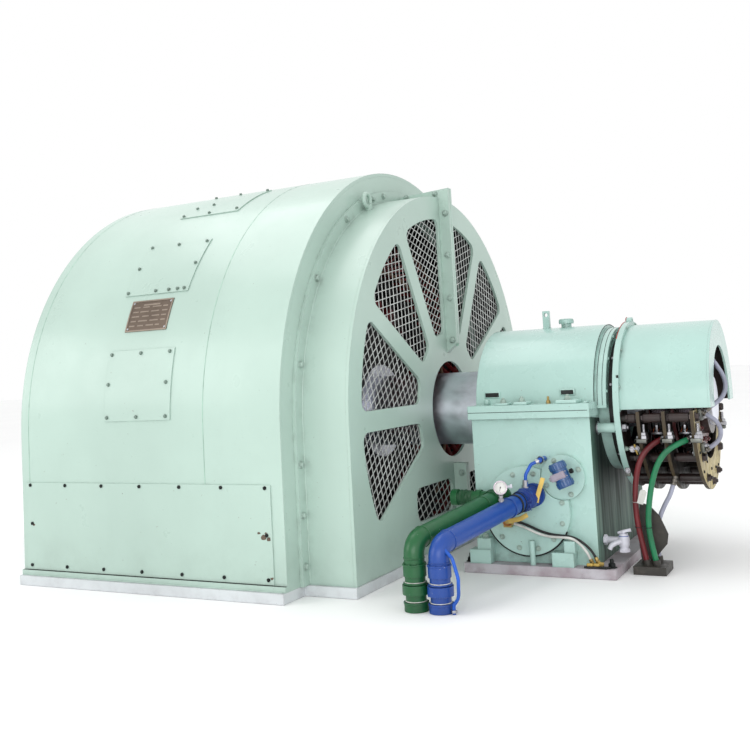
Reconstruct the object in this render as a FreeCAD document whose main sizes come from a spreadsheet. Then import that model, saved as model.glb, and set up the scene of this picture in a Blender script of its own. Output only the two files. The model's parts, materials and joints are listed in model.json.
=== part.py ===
import FreeCAD, Part
import Sketcher
import math
import os

# Horizontal-shaft hydroelectric generator with two pedestal bearings, a plain arched
# air housing, mesh windows in stepped end bells, and a hooded slip-ring gear.
#
# Frame: X along the shaft, +X towards the slip rings; Z up; Y across.
# Origin: on the floor under the middle of the machine's length, on the shaft's
# vertical plane. The near side, with the cooling pipes, faces -Y. Millimetres.

os.makedirs("parts", exist_ok=True)
doc = FreeCAD.newDocument("hydro_generator")
V = FreeCAD.Vector
Rot = FreeCAD.Rotation

# ------------------------------------------------------------------ dimensions
sheet = doc.addObject("Spreadsheet::Sheet", "Dims")
CELLS = [
    ("axis_height", 580.0, "shaft axis above the floor"),
    ("plate_x", 580.0, "outer face of the end plate on the slip-ring side"),
    ("shell_len", 1222.0, "length of the wide arched housing"),
    ("shell_rad", 1024.0, "outer radius of the wide arched housing"),
    ("shell_wall", 14.0, "housing sheet and stiffener thickness"),
    ("lip_wide", 12.0, "foot lip of the housing, sideways"),
    ("lip_high", 20.0, "foot lip of the housing, upwards"),
    ("step_len", 198.0, "end bell length, from the end wall to the end plate's face"),
    ("drive_step", 128.0, "the same on the drive side"),
    ("bell_rad", 900.0, "outer radius of the end bell"),
    ("bell_wall", 12.0, "end bell sheet thickness"),
    ("wall_thick", 16.0, "annular end wall"),
    ("wall_bore", 850.0, "opening of the annular end wall"),
    ("plate_thick", 12.0, "end plate"),
    ("ring_rad", 945.0, "bolted ring flange of the end bell"),
    ("ring_thick", 14.0, "bolted ring flange, along the shaft"),
    ("sole_thick", 36.0, "sole plate under the housing"),
    ("sole_half", 1050.0, "half width of the sole plate under the housing"),
    ("sole_half_bell", 914.0, "half width of the sole plate under the end bell, slip-ring side"),
    ("sole_half_drive", 902.0, "half width of the sole plate under the end bell, drive side"),
    ("open_rad", 200.0, "shaft opening in the end plate"),
    ("win_out", 804.0, "outer radius of the fan windows"),
    ("win_in", 322.0, "inner radius of the fan windows"),
    ("win_bar", 37.5, "half width of the bar between two windows"),
    ("win_fillet", 36.0, "corner radius of the windows"),
    ("low_win_w", 352.0, "low window, across"),
    ("low_win_h", 130.0, "low window, upwards"),
    ("low_win_y", 40.0, "low window's inner edge from the middle plane"),
    ("low_win_z", 165.0, "low window's lower edge above the floor"),
    ("screen_thick", 3.0, "expanded-metal screen"),
    ("screen_lap", 13.0, "screen overlap behind the window's edge"),
    ("fin_half", 17.0, "half thickness of the bolted split flange"),
    ("fin_out", 47.0, "how far the split flange stands out of the end plate"),
    ("fin_high", 37.0, "how far the split flange stands above the bell"),
    ("fin_low_end", 236.0, "lower tip of the upper split flange above the axis"),
    ("fin2_top", 228.0, "top of the lower split flange below the axis"),
    ("fin2_out", 55.0, "how far the lower split flange stands out"),
    ("panel_thick", 4.0, "screwed access panels"),
    ("side_panel_top", 206.0, "top edge of the lower side panel below the axis"),
    ("side_panel_bot", 522.0, "bottom edge of the lower side panel below the axis"),
    ("core_len", 910.0, "stator core length"),
    ("core_rad", 860.0, "stator core outer radius"),
    ("bore_rad", 552.0, "stator bore"),
    ("coil_len", 118.0, "winding overhang beyond the core"),
    ("coil_rad_in", 585.0, "winding overhang, inner radius"),
    ("coil_rad_out", 765.0, "winding overhang, outer radius"),
    ("shaft_rad", 150.0, "shaft at the bearings"),
    ("shaft_seat", 200.0, "shaft under the rotor"),
    ("shaft_tail", 90.0, "shaft under the slip rings"),
    ("rim_rad", 380.0, "rotor rim"),
    ("rotor_len", 860.0, "rotor length"),
    ("pole_rad", 535.0, "pole face radius"),
    ("pole_neck", 118.0, "pole body width"),
    ("shoe_wide", 190.0, "pole shoe width"),
    ("fieldcoil_wide", 176.0, "field coil width over the pole body"),
    ("bear_gap", 233.0, "end plate face to bearing, slip-ring side"),
    ("bear_len", 461.0, "bearing split flange along the shaft, slip-ring side"),
    ("drive_gap", 97.0, "end plate face to bearing, drive side"),
    ("drive_len", 385.0, "bearing split flange along the shaft, drive side"),
    ("bear_half", 402.0, "half width of the bearing's split flange"),
    ("ped_half", 380.0, "half width of the pedestal"),
    ("cap_rad", 310.0, "bearing cap"),
    ("split_thick", 25.0, "each half of the split flange"),
    ("bear_bore", 152.0, "bearing bore"),
    ("ped_sole", 34.0, "sole plate under a pedestal"),
    ("ped_sole_half", 440.0, "half width of the pedestal's sole plate"),
    ("foot_low", 49.0, "lower foot block, height"),
    ("foot_up", 40.0, "upper foot block, height"),
    ("cover_rad", 160.0, "oil cooler cover"),
    ("cover_thick", 24.0, "oil cooler cover thickness"),
    ("port_rad", 80.0, "instrument flange"),
    ("pipe_rad", 33.0, "cooling water pipe"),
    ("disc_rad", 315.0, "slip-ring gear's carrier disc"),
    ("disc_thick", 22.0, "carrier disc thickness"),
    ("hood_rad", 300.0, "slip-ring hood"),
    ("hood_wall", 6.0, "slip-ring hood sheet"),
    ("hood_len", 310.0, "slip-ring hood, disc to outer face"),
    ("hood_low", 8.0, "hood's bottom edge below the axis"),
    ("arch_rad", 205.0, "opening in the hood's end"),
    ("bplate_rad", 325.0, "brush ring plates"),
    ("slip_rad", 170.0, "slip ring"),
    ("slip_wide", 48.0, "slip ring width"),
    ("coupling_end", 1710.0, "half coupling's face, from the middle of the machine"),
    ("coupling_rad", 225.0, "half coupling"),
    ("coupling_thick", 70.0, "half coupling flange"),
    ("coupling_pcd", 370.0, "half coupling bolt circle"),
    ("coupling_hole", 29.0, "half coupling bolt hole diameter"),
]
for n, (alias, value, why) in enumerate(CELLS, start=1):
    sheet.set("A%d" % n, alias)
    sheet.set("B%d" % n, repr(value))
    sheet.setAlias("B%d" % n, alias)
    sheet.set("C%d" % n, why)
doc.recompute()


def dim(alias):
    return float(sheet.get(alias))


def ex(text):
    """An expression in which @word stands for the sheet's cell of that name."""
    return text.replace("@", "Dims.")


def val(text):
    """The value of such an expression, in millimetres."""
    return float(FreeCAD.Units.Quantity(sheet.evalExpression(text.replace("@", ""))).Value)


# ------------------------------------------------------------------ small helpers
NODES = []


def node(obj, label):
    obj.Label = label
    NODES.append(obj)
    return obj


def body(name):
    b = doc.addObject("PartDesign::Body", name)
    if "AllowCompound" in b.PropertiesList:
        b.AllowCompound = True
    return b


def sketch(bod, name, role, off=("0", "0", "0"), turn=0.0):
    """A sketch on one of the body's own origin planes, moved by off (sketch x, y and normal)."""
    sk = bod.newObject("Sketcher::SketchObject", name)
    plane = [o for o in bod.Origin.OriginFeatures if o.Role == role][0]
    sk.AttachmentSupport = [(plane, "")]
    sk.MapMode = "FlatFace"
    if turn:
        sk.AttachmentOffset = FreeCAD.Placement(V(0, 0, 0), Rot(V(1, 0, 0), turn))
    for axis, text in zip("xyz", off):
        if text != "0":
            sk.setExpression("AttachmentOffset.Base." + axis, ex(text))
    return sk


def circle(sk, rad, centre=None):
    """A circle about the sketch's origin, or about centre, with its radius bound to the sheet."""
    c = V(0, 0, 0) if centre is None else V(centre[0], centre[1], 0)
    g = sk.addGeometry(Part.Circle(c, V(0, 0, 1), 10.0), False)
    if centre is None:
        sk.addConstraint(Sketcher.Constraint("Coincident", g, 3, -1, 1))
    else:
        sk.addConstraint(Sketcher.Constraint("DistanceX", -1, 1, g, 3, centre[0]))
        sk.addConstraint(Sketcher.Constraint("DistanceY", -1, 1, g, 3, centre[1]))
    k = sk.addConstraint(Sketcher.Constraint("Radius", g, 10.0))
    sk.setExpression("Constraints[%d]" % k, ex(rad))
    return g


def arch(sk, rad, leg):
    """A closed arch: half circle about the sketch's origin and straight legs down by leg."""
    r0, l0 = 500.0, 300.0
    a = sk.addGeometry(Part.ArcOfCircle(Part.Circle(V(0, 0, 0), V(0, 0, 1), r0), 0, math.pi), False)
    right = sk.addGeometry(Part.LineSegment(V(r0, 0, 0), V(r0, -l0, 0)), False)
    low = sk.addGeometry(Part.LineSegment(V(r0, -l0, 0), V(-r0, -l0, 0)), False)
    left = sk.addGeometry(Part.LineSegment(V(-r0, -l0, 0), V(-r0, 0, 0)), False)
    C = Sketcher.Constraint
    sk.addConstraint(C("Coincident", a, 3, -1, 1))
    sk.addConstraint(C("Coincident", a, 1, right, 1))
    sk.addConstraint(C("Coincident", right, 2, low, 1))
    sk.addConstraint(C("Coincident", low, 2, left, 1))
    sk.addConstraint(C("Coincident", left, 2, a, 2))
    sk.addConstraint(C("PointOnObject", a, 1, -1))
    sk.addConstraint(C("PointOnObject", a, 2, -1))
    sk.addConstraint(C("Vertical", right))
    sk.addConstraint(C("Vertical", left))
    sk.addConstraint(C("Horizontal", low))
    k = sk.addConstraint(C("Radius", a, r0))
    sk.setExpression("Constraints[%d]" % k, ex(rad))
    k = sk.addConstraint(C("DistanceY", low, 1, -1, 1, l0))
    sk.setExpression("Constraints[%d]" % k, ex(leg))


def loop(sk, points):
    """A closed outline of straight sides through the points."""
    ids = []
    for i, p in enumerate(points):
        q = points[(i + 1) % len(points)]
        ids.append(sk.addGeometry(Part.LineSegment(V(p[0], p[1], 0), V(q[0], q[1], 0)), False))
    for i in range(len(ids)):
        sk.addConstraint(Sketcher.Constraint("Coincident", ids[i], 2, ids[(i + 1) % len(ids)], 1))
    for i in ids:
        sk.addConstraint(Sketcher.Constraint("Block", i))
    return ids


def rect(sk, wide, high):
    """A rectangle from the sketch's origin, wide along its x and high along its y."""
    C = Sketcher.Constraint
    w0, h0 = 40.0, 30.0
    pts = [(0, 0), (w0, 0), (w0, h0), (0, h0)]
    g = []
    for i in range(4):
        p, q = pts[i], pts[(i + 1) % 4]
        g.append(sk.addGeometry(Part.LineSegment(V(p[0], p[1], 0), V(q[0], q[1], 0)), False))
    for i in range(4):
        sk.addConstraint(C("Coincident", g[i], 2, g[(i + 1) % 4], 1))
    sk.addConstraint(C("Horizontal", g[0]))
    sk.addConstraint(C("Vertical", g[1]))
    sk.addConstraint(C("Horizontal", g[2]))
    sk.addConstraint(C("Vertical", g[3]))
    sk.addConstraint(C("Coincident", g[0], 1, -1, 1))
    k = sk.addConstraint(C("DistanceX", g[0], 1, g[0], 2, w0))
    sk.setExpression("Constraints[%d]" % k, ex(wide))
    k = sk.addConstraint(C("DistanceY", g[1], 1, g[1], 2, h0))
    sk.setExpression("Constraints[%d]" % k, ex(high))


def pad(bod, sk, length, back=False, name=None):
    p = bod.newObject("PartDesign::Pad", name or sk.Name + "_pad")
    p.Profile = sk
    p.setExpression("Length", ex(length))
    p.Reversed = back
    sk.Visibility = False
    return p


def pocket(bod, sk, length, back=False, both=False, name=None):
    p = bod.newObject("PartDesign::Pocket", name or sk.Name + "_cut")
    p.Profile = sk
    p.setExpression("Length", ex(length))
    p.Reversed = back
    if both:
        p.Midplane = True
    sk.Visibility = False
    return p


def place(obj, x="0", y="0", z="0", rot=None):
    if rot is not None:
        obj.Placement = FreeCAD.Placement(V(0, 0, 0), rot)
    for axis, text in (("x", x), ("y", y), ("z", z)):
        if text != "0":
            obj.setExpression("Placement.Base." + axis, ex(text))
    return obj


def box(name, x, y, z, lx, ly, lz):
    b = doc.addObject("Part::Box", name)
    b.setExpression("Length", ex(lx))
    b.setExpression("Width", ex(ly))
    b.setExpression("Height", ex(lz))
    return place(b, x, y, z)


def cyl(name, rad, height, x, y, z, axis="X", rot=None):
    c = doc.addObject("Part::Cylinder", name)
    c.setExpression("Radius", ex(rad))
    c.setExpression("Height", ex(height))
    if rot is None:
        rot = {
            "X": Rot(V(0, 1, 0), 90),
            "Y": Rot(V(1, 0, 0), -90),
            "-Y": Rot(V(1, 0, 0), 90),
            "Z": Rot(),
        }[axis]
    return place(c, x, y, z, rot)


def fuse(name, *parts):
    f = doc.addObject("Part::MultiFuse", name)
    f.Shapes = list(parts)
    f.Refine = True
    return f


def cut(name, base, tool):
    c = doc.addObject("Part::Cut", name)
    c.Base = base
    c.Tool = tool
    c.Refine = True
    return c


def group(name, *parts):
    g = doc.addObject("Part::Compound", name)
    g.Links = list(parts)
    return g


def mirrored(name, src, at):
    m = doc.addObject("Part::Mirroring", name)
    m.Source = src
    m.Normal = V(1, 0, 0)
    m.setExpression("Base.x", ex(at))
    return m


MID = "(@plate_x - @step_len - @shell_len / 2)"  # middle of the housing, along the shaft
WALL = "(@plate_x - @step_len)"  # outer face of the end wall
DRIVE_PLATE = "(@plate_x - @step_len - @shell_len - @drive_step)"  # the other end plate's face
MIDP = "(@plate_x - (@step_len + @shell_len + @drive_step) / 2)"  # middle between the end plates

# ------------------------------------------------------------------ sole plate
s1 = box("sole_mid", WALL + " - @shell_len", "-@sole_half", "0", "@shell_len", "2 * @sole_half", "@sole_thick")
s2 = box("sole_ring", WALL + " - 20", "-@sole_half_bell", "0", "@step_len + 26", "2 * @sole_half_bell", "@sole_thick")
s3 = box("sole_drive", DRIVE_PLATE + " - 3", "-@sole_half_drive", "0", "@drive_step + 23", "2 * @sole_half_drive", "@sole_thick")
node(fuse("sole_fuse", s1, s2, s3), "base_sole_plate")

# ------------------------------------------------------------------ housing shell
b = body("shell_body")
sk = sketch(b, "shell_out", "YZ_Plane", ("0", "@axis_height", WALL + " - @shell_len"))
arch(sk, "@shell_rad", "@axis_height - @sole_thick")
pad(b, sk, "@shell_len")
sk = sketch(b, "shell_in", "YZ_Plane", ("0", "@axis_height", WALL + " - @shell_len - 5"))
arch(sk, "@shell_rad - @shell_wall", "@axis_height - @sole_thick + 5")
pocket(b, sk, "@shell_len + 10", back=True)
l1 = box("lip_near", WALL + " - @shell_len", "-@shell_rad - @lip_wide", "@sole_thick", "@shell_len", "@lip_wide + 4", "@lip_high")
l2 = box("lip_far", WALL + " - @shell_len", "@shell_rad - 4", "@sole_thick", "@shell_len", "@lip_wide + 4", "@lip_high")
node(fuse("shell_fuse", b, l1, l2), "housing_shell")

# ------------------------------------------------------------------ annular end walls
b = body("wall_body")
sk = sketch(b, "wall_out", "YZ_Plane", ("0", "@axis_height", WALL + " - @wall_thick"))
arch(sk, "@shell_rad - @shell_wall", "@axis_height - @sole_thick")
pad(b, sk, "@wall_thick")
sk = sketch(b, "wall_in", "YZ_Plane", ("0", "@axis_height", WALL + " - @wall_thick - 5"))
arch(sk, "@wall_bore", "@axis_height - @sole_thick + 5")
pocket(b, sk, "@wall_thick + 10", back=True)
node(group("walls_group", b, mirrored("wall_mirror", b, MID)), "end_walls")

# ------------------------------------------------------------------ end bells
def end_bell(tag, step):
    b = body(tag + "_body")
    sk = sketch(b, tag + "_out", "YZ_Plane", ("0", "@axis_height", WALL))
    arch(sk, "@bell_rad", "@axis_height - @sole_thick")
    pad(b, sk, step + " - @plate_thick")
    sk = sketch(b, tag + "_ring", "YZ_Plane", ("0", "@axis_height", WALL))
    arch(sk, "@ring_rad", "@axis_height - @sole_thick")
    pad(b, sk, "@ring_thick")
    sk = sketch(b, tag + "_in", "YZ_Plane", ("0", "@axis_height", WALL + " - 5"))
    arch(sk, "@bell_rad - @bell_wall", "@axis_height - @sole_thick + 5")
    pocket(b, sk, step + " + 10", back=True)
    return b


node(end_bell("bell", "@step_len"), "end_bell_ring_side")
node(mirrored("bell_mirror", end_bell("bell_d", "@drive_step"), MID), "end_bell_drive_side")

# ------------------------------------------------------------------ end plates with their windows
def fan_points(lap):
    """A fan window about the sketch's +x axis: corner points on the two straight sides."""
    bar, r_in, r_out = dim("win_bar") - lap, dim("win_in") - lap, dim("win_out") + lap
    half = math.radians(15.0)

    def corner(r):
        # the point at radius r on the line offset by bar from the radial line at +15 degrees
        along = math.sqrt(r * r - bar * bar)
        return along * math.cos(half) + bar * math.sin(half), along * math.sin(half) - bar * math.cos(half)

    return corner(r_in), corner(r_out)


def fan(sk, lap, at_deg):
    (ax, ay), (bx, by) = fan_points(lap)

    def turn(x, y):
        t = math.radians(at_deg)
        return V(x * math.cos(t) - y * math.sin(t), x * math.sin(t) + y * math.cos(t), 0)

    r_in, r_out = dim("win_in") - lap, dim("win_out") + lap
    p1, p2, p3, p4 = turn(ax, -ay), turn(bx, -by), turn(bx, by), turn(ax, ay)
    ids = [
        sk.addGeometry(Part.LineSegment(p1, p2), False),
        sk.addGeometry(Part.Arc(p2, turn(r_out, 0), p3), False),
        sk.addGeometry(Part.LineSegment(p3, p4), False),
        sk.addGeometry(Part.Arc(p4, turn(r_in, 0), p1), False),
    ]
    for i in ids:
        sk.addConstraint(Sketcher.Constraint("Block", i))


b = body("plate_body")
sk = sketch(b, "plate_out", "YZ_Plane", ("0", "@axis_height", "@plate_x - @plate_thick"))
arch(sk, "@bell_rad", "@axis_height - @sole_thick")
pad(b, sk, "@plate_thick")
sk = sketch(b, "plate_bore", "YZ_Plane", ("0", "@axis_height", "@plate_x - @plate_thick - 5"))
circle(sk, "@open_rad")
pocket(b, sk, "@plate_thick + 10", back=True)
sk = sketch(b, "plate_window", "YZ_Plane", ("0", "@axis_height", "@plate_x - @plate_thick - 5"))
fan(sk, 0.0, -15.0)
cut_one = pocket(b, sk, "@plate_thick + 10", back=True)
ring = b.newObject("PartDesign::PolarPattern", "window_ring")
ring.Originals = [cut_one]
ring.Axis = (sk, ["N_Axis"])
ring.Angle = 210.0
ring.Occurrences = 8
b.Tip = ring
sk = sketch(b, "plate_low_far", "YZ_Plane", ("@low_win_y", "@low_win_z", "@plate_x - @plate_thick - 5"))
rect(sk, "@low_win_w", "@low_win_h")
pocket(b, sk, "@plate_thick + 10", back=True)
sk = sketch(b, "plate_low_near", "YZ_Plane", ("-@low_win_y - @low_win_w", "@low_win_z", "@plate_x - @plate_thick - 5"))
rect(sk, "@low_win_w", "@low_win_h")
last = pocket(b, sk, "@plate_thick + 10", back=True)
doc.recompute()
names = []
for i, e in enumerate(last.Shape.Edges, start=1):
    if len(e.Vertexes) != 2 or abs(e.Length - dim("plate_thick")) > 0.01:
        continue
    p, q = e.Vertexes[0].Point, e.Vertexes[1].Point
    if abs(p.y - q.y) > 0.01 or abs(p.z - q.z) > 0.01:
        continue
    if abs(p.y) > dim("bell_rad") - 1 or p.z < dim("sole_thick") + 1:
        continue
    if abs(math.hypot(p.y, p.z - dim("axis_height")) - dim("open_rad")) < 1:
        continue
    if abs(math.hypot(p.y, p.z - dim("axis_height")) - dim("bell_rad")) < 1:
        continue
    names.append("Edge%d" % i)
soft = b.newObject("PartDesign::Fillet", "window_corners")
soft.Base = (last, names)
soft.setExpression("Radius", ex("@win_fillet"))
node(b, "end_plate_ring_side")
node(mirrored("plate_mirror", b, MIDP), "end_plate_drive_side")
print("window corners rounded:", len(names))

# ------------------------------------------------------------------ window screens, one sheet of expanded metal each
b = body("screen_body")
sk = sketch(b, "screen_fan", "YZ_Plane", ("0", "@axis_height", "@plate_x - @plate_thick - @screen_thick"))
fan(sk, dim("screen_lap"), -15.0)
one = pad(b, sk, "@screen_thick")
ring = b.newObject("PartDesign::PolarPattern", "screen_ring")
ring.Originals = [one]
ring.Axis = (sk, ["N_Axis"])
ring.Angle = 210.0
ring.Occurrences = 8
b.Tip = ring
lows = []
for side, y in (("far", "@low_win_y - @screen_lap"), ("near", "-@low_win_y - @low_win_w - @screen_lap")):
    lows.append(
        box(
            "screen_low_" + side,
            "@plate_x - @plate_thick - @screen_thick",
            y,
            "@low_win_z - @screen_lap",
            "@screen_thick",
            "@low_win_w + 2 * @screen_lap",
            "@low_win_h + 2 * @screen_lap",
        )
    )
screens = node(group("screens_group", b, *lows), "window_screens_ring_side")
node(mirrored("screens_mirror", screens, MIDP), "window_screens_drive_side")

# ------------------------------------------------------------------ bolted split flanges in the middle plane
H = dim("axis_height")
X0 = dim("plate_x")


def fins(tag, step):
    """Upper split flange, over the bell and down the end plate, and the lower one."""
    b = body(tag + "_body")
    top = H + dim("bell_rad") + dim("fin_high")
    back = X0 - step + dim("ring_thick")
    sk = sketch(b, tag + "_outline", "XZ_Plane", ("0", "0", "-@fin_half"))
    loop(
        sk,
        [
            (back, H + dim("bell_rad") - 10),
            (X0, H + dim("bell_rad") - 10),
            (X0, H + dim("fin_low_end")),
            (X0 + dim("fin_out"), H + dim("fin_low_end") + 38),
            (X0 + dim("fin_out"), top),
            (back, top - 14),
        ],
    )
    pad(b, sk, "2 * @fin_half")
    drum = cyl(tag + "_drum", "@bell_rad", "%f" % step, "@plate_x - %f" % step, "0", "@axis_height")
    upper = cut(tag + "_upper", b, drum)
    lower = box(
        tag + "_lower",
        "@plate_x",
        "-@fin_half",
        "@sole_thick + 5",
        "@fin2_out",
        "2 * @fin_half",
        "@axis_height - @fin2_top - @sole_thick - 5",
    )
    return group(tag + "_group", upper, lower)


node(
    group("fins_all", fins("fin", dim("step_len")), mirrored("fins_mirror", fins("fin_d", dim("drive_step")), MIDP)),
    "split_flanges",
)


# ------------------------------------------------------------------ screwed access panels on the housing
def curved_panel(name, x_lo, x_hi, low_deg, high_deg, thick="@panel_thick"):
    """A sheet lying on the housing's arch, from low_deg to high_deg above the near horizontal."""
    bod = body(name)
    s = sketch(bod, name + "_cut", "XZ_Plane", (x_lo, "@axis_height", "0"), turn=90.0 - high_deg)
    # the sketch's own origin lies on the shaft axis; its y runs outwards
    C = Sketcher.Constraint
    w0, h0, r0 = 100.0, 4.0, 1000.0
    pts = [(0, r0), (w0, r0), (w0, r0 + h0), (0, r0 + h0)]
    g = []
    for i in range(4):
        p, q = pts[i], pts[(i + 1) % 4]
        g.append(s.addGeometry(Part.LineSegment(V(p[0], p[1], 0), V(q[0], q[1], 0)), False))
    for i in range(4):
        s.addConstraint(C("Coincident", g[i], 2, g[(i + 1) % 4], 1))
    s.addConstraint(C("Horizontal", g[0]))
    s.addConstraint(C("Vertical", g[1]))
    s.addConstraint(C("Horizontal", g[2]))
    s.addConstraint(C("Vertical", g[3]))
    s.addConstraint(C("PointOnObject", g[0], 1, -2))
    k = s.addConstraint(C("DistanceY", -1, 1, g[0], 1, r0))
    s.setExpression("Constraints[%d]" % k, ex("@shell_rad"))
    k = s.addConstraint(C("DistanceX", g[0], 1, g[0], 2, w0))
    s.setExpression("Constraints[%d]" % k, ex("%s - (%s)" % (x_hi, x_lo)))
    k = s.addConstraint(C("DistanceY", g[1], 1, g[1], 2, h0))
    s.setExpression("Constraints[%d]" % k, ex(thick))
    rev = bod.newObject("PartDesign::Revolution", name + "_turn")
    rev.Profile = s
    rev.ReferenceAxis = (s, ["H_Axis"])
    rev.Angle = high_deg - low_deg
    return bod


PX = "@plate_x "
panels = [
    curved_panel("panel_upper_near", PX + "- 980", PX + "- 674", 30.3, 45.4),
    curved_panel("panel_lower_near", PX + "- 980", PX + "- 668", 2.3, 17.2),
    curved_panel("panel_upper_far", PX + "- 980", PX + "- 674", 134.6, 149.7),
    curved_panel("panel_lower_far", PX + "- 980", PX + "- 668", 162.8, 177.7),
]
panels.append(curved_panel("panel_crown_near", PX + "- 958", PX + "- 660", 57.0, 73.0))
panels.append(curved_panel("panel_crown_far", PX + "- 958", PX + "- 660", 107.0, 123.0))
node(group("panels_group", *panels), "access_panels")
node(curved_panel("name_body", PX + "- 929", PX + "- 729", 21.4, 28.8, "2"), "nameplate")
sides = []
for side, y in (("near", "-@shell_rad - @panel_thick"), ("far", "@shell_rad")):
    sides.append(
        box(
            "side_panel_" + side,
            PX + "- 1400",
            y,
            "@axis_height - @side_panel_bot",
            "1153",
            "@panel_thick",
            "@side_panel_bot - @side_panel_top + 18",
        )
    )
node(group("side_panels_group", *sides), "lower_side_panels")

# ------------------------------------------------------------------ lifting rings on the bells' ring flanges
rings = []
for k, (xm, sgn) in enumerate(((WALL + " + @ring_thick + 22", 1), (MID + " * 2 - (" + WALL + " + @ring_thick + 22)", -1))):
    for s in (-1, 1):
        t = math.radians(67.0)
        r = dim("bell_rad") + 27.0
        eye = doc.addObject("Part::Torus", "lift_eye_%d_%d" % (k, s + 1))
        eye.Radius1 = 27.0
        eye.Radius2 = 8.0
        place(
            eye,
            xm,
            "%f" % (s * (r + 12.0) * math.cos(t)),
            "@axis_height + %f" % ((r + 12.0) * math.sin(t)),
            Rot(V(0, 1, 0), 90),
        )
        foot = doc.addObject("Part::Cylinder", "lift_foot_%d_%d" % (k, s + 1))
        foot.Radius = 15.0
        foot.Height = 24.0
        place(
            foot,
            xm,
            "%f" % (s * (r - 28.5) * math.cos(t)),
            "@axis_height + %f" % ((r - 28.5) * math.sin(t)),
            Rot(V(0, 0, 1), V(0, s * math.cos(t), math.sin(t))),
        )
        joined = fuse("lift_%d_%d" % (k, s + 1), eye, foot)
        d2 = cyl("lift_drum_%d_%d" % (k, s + 1), "@bell_rad", "200", xm + " - 100", "0", "@axis_height")
        rings.append(cut("lifting_%d_%d" % (k, s + 1), joined, d2))
node(group("lifting_group", *rings), "lifting_rings")

# ------------------------------------------------------------------ stator, cut off at the floor plates
outer = cyl("core_out", "@core_rad", "@core_len", MID + " - @core_len / 2", "0", "@axis_height")
inner = cyl("core_in", "@bore_rad", "@core_len + 10", MID + " - @core_len / 2 - 5", "0", "@axis_height")
ringed = cut("core_ring", outer, inner)
under = box("core_under", MID + " - @core_len", "-2000", "-1000", "2 * @core_len", "4000", "1000 + @sole_thick")
node(cut("core_cut", ringed, under), "stator_core")
coils = []
for side, x in (("ring", MID + " + @core_len / 2"), ("drive", MID + " - @core_len / 2 - @coil_len")):
    o = cyl("coil_out_" + side, "@coil_rad_out", "@coil_len", x, "0", "@axis_height")
    i = cyl("coil_in_" + side, "@coil_rad_in", "@coil_len + 10", x + " - 5", "0", "@axis_height")
    c = cut("coil_ring_" + side, o, i)
    u = box("coil_under_" + side, x + " - 5", "-2000", "-1000", "@coil_len + 10", "4000", "1000 + @sole_thick")
    coils.append(cut("coil_cut_" + side, c, u))
node(group("coils_group", *coils), "stator_windings")

# ------------------------------------------------------------------ rotor
b = body("shaft_body")
sk = sketch(b, "shaft_half", "XZ_Plane", ("0", "@axis_height", "0"))
drive_face = val(DRIVE_PLATE)
x_end = -dim("coupling_end")
x_bear = drive_face - dim("drive_gap") - dim("drive_len") - 12.0
x_mid = val("@plate_x - @step_len - @shell_len / 2")
x_tail = X0 + dim("bear_gap") + dim("bear_len") + 20.0
steps = [
    (x_end, 120.0),
    (x_bear, dim("shaft_rad")),
    (x_mid - 480.0, dim("shaft_seat")),
    (x_mid + 480.0, dim("shaft_rad")),
    (x_tail, dim("shaft_tail")),
    (X0 + 1062.0, None),
]
pts = [(x_end, 0.0)]
for (x, r), (x2, _) in zip(steps[:-1], steps[1:]):
    pts += [(x, r), (x2, r)]
pts.append((steps[-1][0], 0.0))
loop(sk, pts)
rev = b.newObject("PartDesign::Revolution", "shaft_turn")
rev.Profile = sk
rev.ReferenceAxis = (sk, ["H_Axis"])
rev.Angle = 360.0
node(b, "shaft")

rim = cut(
    "rim_ring",
    cyl("rim_out", "@rim_rad", "@rotor_len", MID + " - @rotor_len / 2", "0", "@axis_height"),
    cyl("rim_in", "@shaft_seat", "@rotor_len + 10", MID + " - @rotor_len / 2 - 5", "0", "@axis_height"),
)
node(rim, "rotor_rim")
POLES = 12
b = body("pole_body")
sk = sketch(b, "pole_section", "YZ_Plane", ("0", "@axis_height", MID + " - @rotor_len / 2"))
n2, s2w, rr, pr = dim("pole_neck") / 2, dim("shoe_wide") / 2, dim("rim_rad"), dim("pole_rad")
z_rim = math.sqrt(rr * rr - n2 * n2)
z_shoe = math.sqrt(pr * pr - s2w * s2w)
g = [
    sk.addGeometry(Part.Arc(V(-n2, z_rim, 0), V(0, rr, 0), V(n2, z_rim, 0)), False),
    sk.addGeometry(Part.LineSegment(V(n2, z_rim, 0), V(n2, pr - 36, 0)), False),
    sk.addGeometry(Part.LineSegment(V(n2, pr - 36, 0), V(s2w, z_shoe - 14, 0)), False),
    sk.addGeometry(Part.LineSegment(V(s2w, z_shoe - 14, 0), V(s2w, z_shoe, 0)), False),
    sk.addGeometry(Part.Arc(V(s2w, z_shoe, 0), V(0, pr, 0), V(-s2w, z_shoe, 0)), False),
    sk.addGeometry(Part.LineSegment(V(-s2w, z_shoe, 0), V(-s2w, z_shoe - 14, 0)), False),
    sk.addGeometry(Part.LineSegment(V(-s2w, z_shoe - 14, 0), V(-n2, pr - 36, 0)), False),
    sk.addGeometry(Part.LineSegment(V(-n2, pr - 36, 0), V(-n2, z_rim, 0)), False),
]
for i in g:
    sk.addConstraint(Sketcher.Constraint("Block", i))
one = pad(b, sk, "@rotor_len")
ring = b.newObject("PartDesign::PolarPattern", "pole_ring")
ring.Originals = [one]
ring.Axis = (sk, ["N_Axis"])
ring.Angle = 360.0
ring.Occurrences = POLES
b.Tip = ring
node(b, "rotor_poles")

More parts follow.
